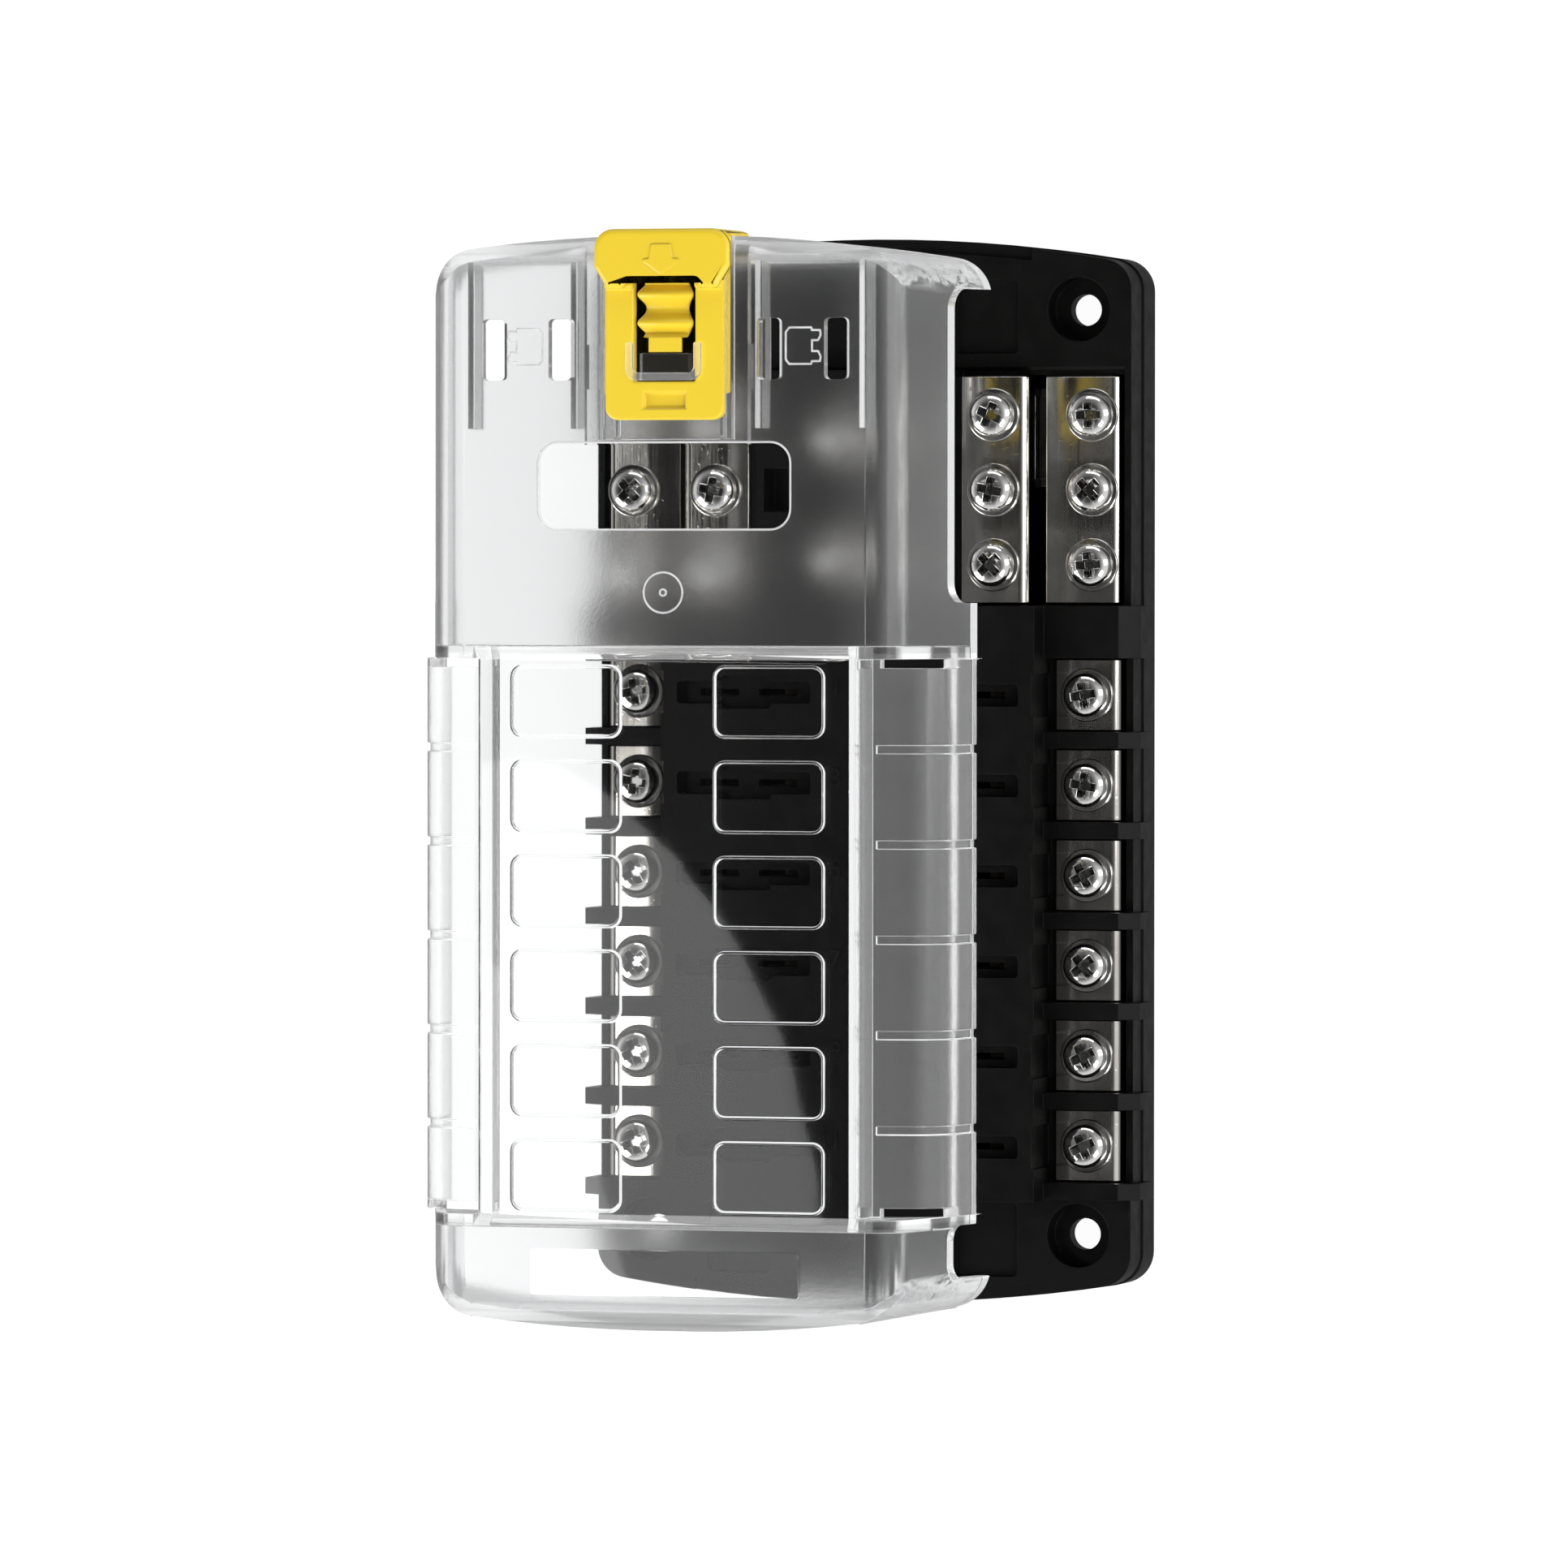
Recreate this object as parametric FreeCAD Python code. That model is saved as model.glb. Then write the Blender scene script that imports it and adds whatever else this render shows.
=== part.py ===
import FreeCAD, Part
import math
import os

# Blade fuse block, in millimetres. It lies on its back: +Z points out of the mounting face, +Y
# towards the end with the cover's latch, +X to the right. The origin is the middle of the mounting
# face. The clear cover is lifted straight off the base by cover_lift.

# Base, seen from above
base_width = 84.6
base_length = 162.0
base_half_x = base_width / 2
base_half_y = base_length / 2
end_bow_radius = 231.0
base_corner_radius = 5.0
base_wall = 2.4

# Base heights over the mounting face
plinth_height = 6.5
plinth_step = 0.25
flange_height = 13.2
flange_thickness = 2.6
deck_height = 22.0
rib_height = 16.7
underside_height = 5.9

# Fuse rows
pairs_of_fuses = 6
row_pitch = 13.63
foot_to_row_middle = 58.7
row_middle_y = foot_to_row_middle - base_half_y
terminal_band = 13.0
deck_width = base_width - 2 * terminal_band
deck_margin = 8.2
deck_wall = 2.0
rib_width = 2.5
rib_overhang = 1.5
rib_end_drop = 2.2
rib_slope_length = 2.8
terminal_wall_drop = 1.5
bridge_length = 7.9

# Fuse sockets and the contacts inside them
socket_length = 21.4
socket_middle_share = 0.6835
socket_centre_x = socket_length / 2 + (deck_width / 2 - socket_length) * socket_middle_share
socket_width = 3.4
socket_middle_length = 8.7
socket_middle_width = 5.0
socket_corner_radius = 0.7
socket_depth = 3.0
socket_floor = 2.0
blade_spacing = 9.4
blade_slit_length = 6.2
blade_slit_width = 1.0
clip_length = 5.4
clip_metal = 0.5
clip_throat = 0.7
clip_spread = 1.8
clip_height = 10.6
clip_mouth_height = 2.1
blade_relief = 0.4
relief_length = 6.5

# Sheet metal: outlet terminals, buses and their folds
sheet = 1.2
fold_radius = 1.1
fold_facets = 4
terminal_width = 10.7
terminal_deck_gap = 1.1
terminal_side_inset = 1.9
terminal_foot_offset = 2.6
terminal_inner_x = deck_width / 2 + terminal_deck_gap
terminal_outer_x = base_half_x - terminal_side_inset
terminal_height = 13.6
terminal_foot_x = socket_centre_x + terminal_foot_offset
bus_metal_z = 4.4
supply_spine_width = 12.0
supply_tab_inset = 2.3
supply_tab_end_x = socket_centre_x - supply_tab_inset

# Negative bus
bus_end_inset = 38.25
bus_columns_y = base_half_y - bus_end_inset
bus_bar_length = 34.2
bus_screw_pitch = 11.3
bus_screws_in_column = 3
outer_bar_width = 11.6
bar_gap = 1.8
inner_bar_width = 10.3
outer_bar_inner_x = terminal_outer_x - outer_bar_width
inner_bar_outer_x = outer_bar_inner_x - bar_gap
inner_bar_inner_x = inner_bar_outer_x - inner_bar_width
inner_bar_height = 17.8
bar_lip = 4.8
link_length = 15.0
link_offset = 8.0

# Screws, washers and main studs
terminal_screw_inset = 5.05
outer_screw_inset = 4.3
inner_screw_inset = 5.2
screw_column_x = terminal_outer_x - terminal_screw_inset
outer_screw_x = terminal_outer_x - outer_screw_inset
inner_screw_x = inner_bar_outer_x - inner_screw_inset
screw_head_radius = 3.3
screw_head_height = 2.5
screw_shank_radius = 2.05
screw_shank_length = 6.6
screw_dome_radius = 0.9
screw_slot_width = 0.9
screw_slot_length = 3.4
screw_slot_depth = 1.5
washer_radius = 4.05
washer_thickness = 0.6
stud_radius = 2.45
stud_length = 13.0
stud_head_overhang = 1.0
stud_head_height = 1.8
stud_washer_radius = 5.4
stud_washer_thickness = 1.0
nut_across_flats = 9.5
nut_height = 4.0
positive_stud_offset = 9.75
negative_stud_offset = 8.25
positive_stud_y = bus_columns_y - positive_stud_offset
negative_stud_y = bus_columns_y + negative_stud_offset

# Mounting holes
hole_inset_x = 8.45
hole_inset_y = 11.0
hole_spacing_x = base_width - 2 * hole_inset_x
hole_spacing_y = base_length - 2 * hole_inset_y
hole_radius = 2.4
counterbore_radius = 4.85
counterbore_depth = 4.4
hole_floor = 2.8
relief_bore_radius = 4.4
boss_radius = 6.6

# Recesses of the end flanges
flange_pocket_width = 9.8
flange_pocket_length = 11.2
flange_pocket_inset_x = 22.9
flange_pocket_centre_x = base_half_x - flange_pocket_inset_x
flange_pocket_depth = 1.2
top_pocket_inset = 12.1
bottom_pocket_inset = 10.2
top_pocket_y = base_half_y - top_pocket_inset
bottom_pocket_y = bottom_pocket_inset - base_half_y
bus_pocket_margin = 1.05
bus_pocket_end_y = bus_columns_y + bus_bar_length / 2 + bus_pocket_margin
bus_slope = 2.3
platform_side_gap = 1.2
platform_width = 2 * (inner_bar_inner_x - platform_side_gap)
platform_pocket_inner_x = 4.5
platform_pocket_edge = 1.2
platform_pocket_width = platform_width / 2 - platform_pocket_edge - platform_pocket_inner_x
platform_pocket_length = 6.6
platform_pocket_x = platform_pocket_inner_x + platform_pocket_width / 2
platform_pocket_depth = 5.5
end_rebate_inset = 15.8
end_rebate_width = base_width - 2 * end_rebate_inset
end_rebate_depth = 0.8
latch_slot_width = 12.0
latch_slot_inset = 1.5
latch_slot_length = 6.1
latch_slot_outer_y = base_half_y - latch_slot_inset
latch_slot_inner_y = latch_slot_outer_y - latch_slot_length

# Rear plate
rear_plate_thickness = 1.6
rear_plate_ledge = 1.0

# Clear cover in its closed place
cover_lift = 79.3
cover_side_inset = 1.3
cover_end_inset = 2.4
cover_half_width = base_half_x - cover_side_inset
cover_foot_inset = 0.1
cover_foot_half_width = base_half_x - cover_foot_inset
cover_half_length = base_half_y - cover_end_inset
cover_corner_radius = 6.0
cover_wall = 1.8
cover_top = 37.0
cover_slope_run = 8.0
cover_flat_half_width = cover_foot_half_width - cover_slope_run
cover_edge_radius = 6.0
cover_end_radius = 3.5
cover_end_rim = 13.5
cover_side_rim = 17.0
panel_top = 35.2
panel_side_inset = 12.4
panel_top_reach = 40.2
panel_bottom_reach = 39.7
panel_half_width = cover_half_width - panel_side_inset
panel_top_y = row_middle_y + panel_top_reach
panel_bottom_y = row_middle_y - panel_bottom_reach
panel_step_slope = 1.8
panel_side_lean = 0.5
panel_edge_radius = 0.8
shoulder_top = 29.8
shoulder_inset = 1.6
shoulder_outer_x = cover_half_width - shoulder_inset
shoulder_drop = 1.6
shoulder_radius = 7.5
shoulder_slot_inner_gap = 1.6
shoulder_slot_outer_gap = 2.4
shoulder_slot_start_x = panel_half_width + shoulder_slot_inner_gap
shoulder_slot_end_x = cover_half_width - shoulder_slot_outer_gap
shoulder_slot_width = 1.3
groove_width = 1.2
groove_depth = 0.4

# Latch and its spring
latch_travel = 2.5
latch_clearance = 0.3
latch_half_width = 8.9
latch_rail_inner_x = 4.6
latch_thickness = 1.9
latch_top_drop = 0.2
latch_length = 27.3
latch_bar_width = 5.5
hood_length = 8.5
hood_overhang = 0.8
hood_half_width = 10.1
hood_end_y = cover_half_length + hood_overhang
hood_start_y = hood_end_y - hood_length
latch_bar_end_y = hood_end_y - latch_length
latch_bar_start_y = latch_bar_end_y + latch_bar_width
hood_chamfer_x = 1.9
hood_chamfer_y = 3.1
hood_thickness = 1.2
hood_edge_radius = 0.5
tongue_width = 1.0
tongue_thickness = 0.6
guide_wall = 2.0
guide_front_wall = 0.7
guide_depth = 1.1
guide_ledge = 1.0
apron_depth = 11.0
apron_thickness = 1.5
leg_half_width = 4.5
leg_tooth = 0.9
leg_tooth_height = 2.4
leg_end_z = 9.0
stop_half_width = 3.6
stop_length = 3.7
bridge_half_length = 3.2
bridge_thickness = 1.5
spring_runs = 3
spring_pitch = 2.0
spring_width = 1.0
spring_run_half = 2.6
spring_thickness = 1.5
spring_block_half_width = 2.5
spring_block_length = 2.1
spring_seat_gap = 0.2
finger_pocket_width = 6.2
finger_pocket_length = 2.3
finger_pocket_depth = 0.8
arrow_raise = 0.25
arrow_point_y = 2.2
arrow_wing_x = 3.0
arrow_wing_y = 0.2
arrow_shaft_x = 1.3
arrow_tail_y = 2.0

# Openings of the cover
wire_notch_reach = 16.85
notch_end_inset = 10.0
foot_notch_length = 7.6
foot_notch_radius = 2.2
wire_notch_start_y = bus_columns_y - wire_notch_reach
wire_notch_end_y = base_half_y - notch_end_inset
wire_notch_top = 22.5
wire_notch_radius = 3.0
foot_notch_start_y = notch_end_inset - base_half_y
foot_notch_end_y = foot_notch_start_y + foot_notch_length
spare_slot_width = 3.4
spare_slot_length = 8.8
spare_slot_inset = 16.4
spare_slot_y = cover_half_length - spare_slot_inset
spare_rib_thickness = 1.0
spare_rib_latch_gap = 4.4
spare_rib_edge_gap = 5.4
spare_rib_inner_x = latch_half_width + spare_rib_latch_gap
spare_rib_outer_x = cover_flat_half_width - spare_rib_edge_gap
inner_slot_gap = 2.3
outer_slot_gap = 3.2
spare_slot_inner_x = spare_rib_inner_x + inner_slot_gap
spare_slot_outer_x = spare_rib_outer_x - outer_slot_gap
spare_rib_start_inset = 27.7
spare_rib_end_inset = 3.8
spare_rib_start_y = cover_half_length - spare_rib_start_inset
spare_rib_end_y = cover_half_length - spare_rib_end_inset
spare_rib_depth = 5.0

# Raised label frames of the cover
frame_offset_x = 0.9
frame_centre_x = panel_half_width / 2 + frame_offset_x
frame_length = 16.6
frame_width = 10.4
frame_corner_radius = 1.8
frame_line = 0.35
frame_raise = 0.25

# Running and assembly clearances
fit = 0.1
gap = 0.3

OUT = "parts"
vector = FreeCAD.Vector
SIDES = (1, -1)


def box(x0, x1, y0, y1, z0, z1):
    """Block between two corners, given in any order."""
    corner = vector(min(x0, x1), min(y0, y1), min(z0, z1))
    return Part.makeBox(abs(x1 - x0), abs(y1 - y0), abs(z1 - z0), corner)


def cylinder(x, y, z0, z1, radius):
    """Upright cylinder."""
    return Part.makeCylinder(radius, z1 - z0, vector(x, y, z0))


def join(shapes):
    """One solid from several that touch or overlap."""
    whole = shapes[0]
    if len(shapes) > 1:
        whole = whole.fuse(shapes[1:])
    return whole.removeSplitter()


def prism(points, direction):
    """Solid with a polygon as its section, pushed along a direction."""
    wire = Part.makePolygon([vector(*p) for p in points + points[:1]])
    return Part.Face(wire).extrude(vector(*direction))


def along_y(section, y0, y1):
    """Prism of an x, z section between two places along Y."""
    return prism([(x, y0, z) for x, z in section], (0, y1 - y0, 0))


def along_x(section, x0, x1):
    """Prism of a y, z section between two places along X."""
    return prism([(x0, y, z) for y, z in section], (x1 - x0, 0, 0))


def upright(section, z0, z1):
    """Prism of an x, y section between two heights."""
    return prism([(x, y, z0) for x, y in section], (0, 0, z1 - z0))


def corner_cut(before, corner, after, radius):
    """Start, middle and end of the arc that rounds one corner of a section."""
    here = vector(corner[0], corner[1], 0)
    back = (vector(before[0], before[1], 0) - here).normalize()
    ahead = (vector(after[0], after[1], 0) - here).normalize()
    half_turn = math.acos(max(-1.0, min(1.0, back.dot(ahead)))) / 2
    reach = radius / math.tan(half_turn)
    bisector = (back + ahead).normalize()
    centre = here + bisector * (radius / math.sin(half_turn))
    return here + back * reach, centre - bisector * radius, here + ahead * reach


def rounded_section(points, radii, y0, y1):
    """Prism along Y of an x, z polygon whose corners are rounded by the radii given."""
    edges = []
    count = len(points)
    previous_end = None
    first_start = None
    for i, point in enumerate(points):
        if radii[i] > 0:
            start, middle, end = corner_cut(points[i - 1], point, points[(i + 1) % count], radii[i])
        else:
            start = middle = end = vector(point[0], point[1], 0)
        placed = [vector(p.x, y0, p.y) for p in (start, middle, end)]
        if previous_end is not None:
            edges.append(Part.makeLine(previous_end, placed[0]))
        else:
            first_start = placed[0]
        if radii[i] > 0:
            edges.append(Part.Arc(*placed).toShape())
        previous_end = placed[2]
    edges.append(Part.makeLine(previous_end, first_start))
    return Part.Face(Part.Wire(edges)).extrude(vector(0, y1 - y0, 0))


def turned_edges(solid, direction):
    """Straight edges that run along one axis."""
    picked = []
    for edge in solid.Edges:
        span = edge.Vertexes[-1].Point - edge.Vertexes[0].Point
        if span.Length > 0.01 and abs(span.normalize().dot(direction)) > 0.999:
            picked.append(edge)
    return picked


def rounded_block(x, y, length, width, z0, z1, radius):
    """Block centred at x, y with rounded upright edges."""
    block = box(x - length / 2, x + length / 2, y - width / 2, y + width / 2, z0, z1)
    return block.makeFillet(radius, turned_edges(block, vector(0, 0, 1)))


def bowed_block(half_width, half_length, radius, z0, z1):
    """Block whose two ends are shallow arcs, with rounded corners."""
    sag = end_bow_radius - math.sqrt(end_bow_radius ** 2 - half_width ** 2)
    side_y = half_length - sag
    foot_right = vector(half_width, -side_y, z0)
    top_right = vector(half_width, side_y, z0)
    top_left = vector(-half_width, side_y, z0)
    foot_left = vector(-half_width, -side_y, z0)
    right = Part.makeLine(foot_right, top_right)
    top = Part.Arc(top_right, vector(0, half_length, z0), top_left)
    left = Part.makeLine(top_left, foot_left)
    foot = Part.Arc(foot_left, vector(0, -half_length, z0), foot_right)
    face = Part.Face(Part.Wire([right, top.toShape(), left, foot.toShape()]))
    block = face.extrude(vector(0, 0, z1 - z0))
    return block.makeFillet(radius, turned_edges(block, vector(0, 0, 1)))


def row_y(row):
    """Middle of a fuse row, counted from the latch end."""
    return row_middle_y + ((pairs_of_fuses - 1) / 2 - row) * row_pitch


def deck_ends():
    """Both ends of the raised fuse deck along Y."""
    top = row_y(0) + (row_pitch - rib_width) / 2 + bridge_length
    bottom = row_y(pairs_of_fuses - 1) - deck_margin
    return bottom, top


def hole_centres():
    """Middles of the four mounting holes."""
    return [(sx * hole_spacing_x / 2, sy * hole_spacing_y / 2) for sx in SIDES for sy in SIDES]


def bus_screw_rows():
    """Places of one column of bus screws along Y."""
    middle = (bus_screws_in_column - 1) / 2
    return [bus_columns_y + (middle - i) * bus_screw_pitch for i in range(bus_screws_in_column)]


def bar_ends():
    """Both ends of the negative bus bars along Y."""
    return bus_columns_y - bus_bar_length / 2, bus_columns_y + bus_bar_length / 2


def link_ends():
    """Both ends of the plate that links the two sides of the negative bus."""
    middle = bus_columns_y + link_offset
    return middle - link_length / 2, middle + link_length / 2


def socket_cut(side, y):
    """Space of one fuse socket with its two blade slits."""
    x = side * socket_centre_x
    floor = deck_height - socket_depth
    over = deck_height + 1
    parts = [
        rounded_block(x, y, socket_length, socket_width, floor, over, socket_corner_radius),
        rounded_block(x, y, socket_middle_length, socket_middle_width, floor, over, socket_corner_radius),
    ]
    for end in SIDES:
        slit_x = x + end * blade_spacing / 2
        half = blade_slit_length / 2
        parts.append(box(slit_x - half, slit_x + half, y - blade_slit_width / 2, y + blade_slit_width / 2,
                         floor - socket_floor - 1, over))
    return join(parts)


def terminal_rib(y0, y1, side):
    """Wall between two terminals, with a sloping end that stands past the base's side."""
    tip = base_width / 2 + rib_overhang
    slope_start = tip - rib_slope_length
    section = [
        (deck_width / 2 - deck_wall, plinth_height),
        (deck_width / 2 - deck_wall, rib_height),
        (slope_start, rib_height),
        (tip, rib_height - rib_end_drop),
        (tip, plinth_height + plinth_step),
        (base_width / 2 - plinth_step, plinth_height),
    ]
    return along_y([(side * x, z) for x, z in section], y0, y1)


def terminal_ribs():
    """All ribs of both sides and the wide bridge next to the bus."""
    ribs = []
    half = rib_width / 2
    for side in SIDES:
        for row in range(pairs_of_fuses):
            y = row_y(row) - row_pitch / 2
            ribs.append(terminal_rib(y - half, y + half, side))
        ribs.append(terminal_rib(deck_ends()[1] - bridge_length, deck_ends()[1], side))
    return ribs


def terminal_pocket(side, y):
    """Space for one outlet terminal: seat, slot for its fold and the way to its contact."""
    half = (row_pitch - rib_width) / 2
    slot_out = terminal_outer_x + 2 * gap
    slot_in = terminal_outer_x - sheet - gap
    seat = box(side * deck_width / 2, side * slot_out, y - half, y + half,
               terminal_height - sheet, deck_height)
    slot = box(side * slot_in, side * slot_out, y - half, y + half, 0, deck_height)
    shank = cylinder(side * screw_column_x, y, underside_height - 1, terminal_height,
                     screw_shank_radius + gap)
    relief = box(side * (deck_width / 2 - blade_relief), side * (deck_width / 2 + 1),
                 y - relief_length / 2, y + relief_length / 2, terminal_height - sheet, deck_height + 1)
    wall_top = box(side * slot_in, side * base_width, y - half, y + half,
                   flange_height - terminal_wall_drop, deck_height)
    return [seat, slot, shank, relief, wall_top]


def bar_seats():
    """Blocks that carry the four negative bus bars, and the platform between them."""
    y0, y1 = bar_ends()
    seats = [box(-platform_width / 2, platform_width / 2, deck_ends()[1], bus_pocket_end_y,
                 underside_height, inner_bar_height)]
    for side in SIDES:
        seats.append(box(side * platform_width / 2, side * (inner_bar_outer_x - sheet - fit), y0, y1,
                         underside_height, inner_bar_height - sheet))
    return seats


def bus_pocket():
    """Hollow of the base round the negative bus, with a sloping end wall."""
    y0, y1 = deck_ends()[1], bus_pocket_end_y
    edge = terminal_outer_x + 2 * gap
    low = terminal_height - sheet
    sloped_end = along_x([(y1 - 1, low), (y1 + bus_slope, flange_height + 1), (y1 - 1, flange_height + 1)],
                         -edge, edge)
    return [box(-edge, edge, y0, y1, low, deck_height), sloped_end]


def bus_slots():
    """Slots in the pocket's floor for the folds of the bus bars, and the bores of their screws."""
    y0, y1 = bar_ends()
    cuts = []
    for side in SIDES:
        cuts.append(box(side * (terminal_outer_x - sheet - gap), side * (terminal_outer_x + 2 * gap),
                        y0 - gap, y1 + gap, 0, deck_height))
        cuts.append(box(side * (inner_bar_outer_x - sheet - fit), side * (outer_bar_inner_x - gap),
                        y0 - gap, y1 + gap, underside_height - 1, deck_height))
        for y in bus_screw_rows():
            for x in (outer_screw_x, inner_screw_x):
                cuts.append(cylinder(side * x, y, underside_height - 1, deck_height,
                                     screw_shank_radius + gap))
    return cuts


def platform_pockets():
    """Rectangular wells in the middle platform, beside the main studs."""
    half_x, half_y = platform_pocket_width / 2, platform_pocket_length / 2
    return [box(side * platform_pocket_x - half_x, side * platform_pocket_x + half_x,
                bus_columns_y - half_y, bus_columns_y + half_y,
                inner_bar_height - platform_pocket_depth, deck_height) for side in SIDES]


def flange_pockets():
    """Shallow recesses in both end flanges, the rebates for the cover's ends and the latch slot."""
    cuts = []
    for side in SIDES:
        for y in (top_pocket_y, bottom_pocket_y):
            cuts.append(rounded_block(side * flange_pocket_centre_x, y, flange_pocket_width,
                                      flange_pocket_length, flange_height - flange_pocket_depth,
                                      flange_height + 1, socket_corner_radius))
    ring = box(-end_rebate_width / 2, end_rebate_width / 2, -base_length, base_length,
               flange_height - end_rebate_depth, flange_height + 1)
    inside = bowed_block(cover_foot_half_width + gap, cover_half_length + gap, cover_corner_radius,
                         0, flange_height + 2)
    cuts.append(ring.cut(inside))
    cuts.append(box(-latch_slot_width / 2, latch_slot_width / 2, latch_slot_inner_y, latch_slot_outer_y,
                    rear_plate_thickness, flange_height + 1))
    return cuts


def underside_cuts():
    """Hollows of the base's underside: seat of the rear plate, wiring space, deck and flange hollows."""
    half_w = base_width / 2 - base_wall
    half_l = base_length / 2 - base_wall
    inner_radius = base_corner_radius - base_wall / 2
    plate_seat = bowed_block(half_w + rear_plate_ledge, half_l + rear_plate_ledge, base_corner_radius,
                             -1, rear_plate_thickness)
    wiring = bowed_block(half_w, half_l, inner_radius, 0, underside_height)
    deck_floor = deck_height - socket_depth - socket_floor
    y0, y1 = deck_ends()
    half_deck = deck_width / 2 - deck_wall
    under_deck = box(-half_deck, half_deck, y0 + deck_wall, y1 - deck_wall, 0, deck_floor)
    flanges = bowed_block(half_w, half_l, inner_radius, 0, flange_height - flange_thickness)
    middle = box(-base_width, base_width, y0, bus_pocket_end_y + base_wall, -1, flange_height)
    return [plate_seat, wiring, under_deck, flanges.cut(middle)]


def bosses():
    """Posts of the mounting holes, from the mounting face up to the flange."""
    return [cylinder(x, y, 0, flange_height, boss_radius) for x, y in hole_centres()]


def mounting_bores():
    """Counterbored through holes, relieved from below."""
    floor = flange_height - counterbore_depth
    cuts = []
    for x, y in hole_centres():
        cuts.append(cylinder(x, y, floor, flange_height + 1, counterbore_radius))
        cuts.append(cylinder(x, y, -1, flange_height + 1, hole_radius))
        cuts.append(cylinder(x, y, -1, floor - hole_floor, relief_bore_radius))
    return cuts


def base_housing():
    """Black moulded base with its deck, ribs, pockets and holes."""
    half_w = base_width / 2
    half_l = base_length / 2
    plinth = bowed_block(half_w, half_l, base_corner_radius, 0, plinth_height)
    upper = bowed_block(half_w - plinth_step, half_l - plinth_step, base_corner_radius - plinth_step,
                        plinth_height, flange_height)
    y0, y1 = deck_ends()
    deck = box(-deck_width / 2, deck_width / 2, y0, y1, plinth_height, deck_height)
    body = join([plinth, upper]).cut(bus_pocket())
    body = join([body, deck] + terminal_ribs() + bar_seats())
    body = join([body.cut(underside_cuts())] + bosses())
    cuts = bus_slots() + platform_pockets() + flange_pockets() + mounting_bores()
    for row in range(pairs_of_fuses):
        for side in SIDES:
            cuts += terminal_pocket(side, row_y(row))
            cuts.append(socket_cut(side, row_y(row)))
    cuts += [stud_hole(positive_stud_y), stud_hole(negative_stud_y)]
    return body.cut(cuts).removeSplitter()


def stud_hole(y):
    """Hole in the platform for a main stud."""
    return cylinder(0, y, underside_height - 1, deck_height, stud_radius + fit)


def rear_plate():
    """Flat insulating plate that closes the underside, with clearance round the four bosses."""
    half_w = base_width / 2 - base_wall + rear_plate_ledge - fit
    half_l = base_length / 2 - base_wall + rear_plate_ledge - fit
    plate = bowed_block(half_w, half_l, base_corner_radius, 0, rear_plate_thickness)
    holes = [cylinder(x, y, -1, rear_plate_thickness + 1, boss_radius + fit) for x, y in hole_centres()]
    return plate.cut(holes)


def folded_channel(inner_x, outer_x, top_z, foot_x, foot_z, lip_z):
    """Section of a folded strip: top plate, outer fold and, if foot_z is given, a foot below."""
    outer = [(inner_x, top_z), (outer_x - fold_radius, top_z)]
    for facet in range(1, fold_facets + 1):
        turn = math.radians(90 - facet * 90 / fold_facets)
        outer.append((outer_x - fold_radius + fold_radius * math.cos(turn),
                      top_z - fold_radius + fold_radius * math.sin(turn)))
    if foot_z is None:
        inner = [(outer_x, lip_z), (outer_x - sheet, lip_z)]
    else:
        inner = [(outer_x, foot_z), (foot_x, foot_z), (foot_x, foot_z + sheet)]
        inner.append((outer_x - sheet, foot_z + sheet))
    return outer + inner + [(outer_x - sheet, top_z - sheet), (inner_x, top_z - sheet)]


def outlet_terminal(side, row):
    """One outlet terminal: screw plate on top, folded edge outside, foot under the fuse contact."""
    y = row_y(row)
    half = terminal_width / 2
    section = folded_channel(terminal_inner_x, terminal_outer_x, terminal_height, terminal_foot_x,
                             bus_metal_z, 0)
    strip = along_y([(side * x, z) for x, z in section], y - half, y + half)
    hole = cylinder(side * screw_column_x, y, terminal_height - sheet - 1, terminal_height + 1,
                    screw_shank_radius + fit / 2)
    return strip.cut(hole)


def positive_bus():
    """Supply bar under the deck: a spine with a tab to each contact, running on to the main stud."""
    end_y = positive_stud_y + supply_spine_width / 2
    start_y = row_y(pairs_of_fuses - 1) - clip_length / 2
    half = supply_spine_width / 2
    top = bus_metal_z + sheet
    pieces = [box(-half, half, start_y, end_y, bus_metal_z, top)]
    for row in range(pairs_of_fuses):
        pieces.append(box(-supply_tab_end_x, supply_tab_end_x, row_y(row) - clip_length / 2,
                          row_y(row) + clip_length / 2, bus_metal_z, top))
    bar = join(pieces)
    return bar.cut(cylinder(0, positive_stud_y, 0, deck_height, stud_radius + fit / 2))


def fuse_clip(x, y):
    """One springy contact: a base and two leaves that close on a fuse blade and open above it."""
    foot = bus_metal_z + sheet
    top = foot + clip_height
    throat_z = top - clip_mouth_height
    half_base = clip_spread / 2
    leaf = [
        (half_base, foot),
        (clip_throat / 2, throat_z),
        (half_base, top),
        (half_base + clip_metal, top),
        (clip_throat / 2 + clip_metal, throat_z),
        (half_base + clip_metal, foot),
    ]
    x0, x1 = x - clip_length / 2, x + clip_length / 2
    pieces = [box(x0, x1, y - half_base - clip_metal, y + half_base + clip_metal, foot, foot + clip_metal)]
    for side in SIDES:
        pieces.append(along_x([(y + side * w, z) for w, z in leaf], x0, x1))
    return join(pieces)


def clip_set(toward_middle):
    """Twelve contacts: the supply ones lie nearer the middle of the block, the outlet ones further out."""
    offset = -blade_spacing / 2 if toward_middle else blade_spacing / 2
    clips = []
    for row in range(pairs_of_fuses):
        for side in SIDES:
            clips.append(fuse_clip(side * (socket_centre_x + offset), row_y(row)))
    return Part.makeCompound(clips)


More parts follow.
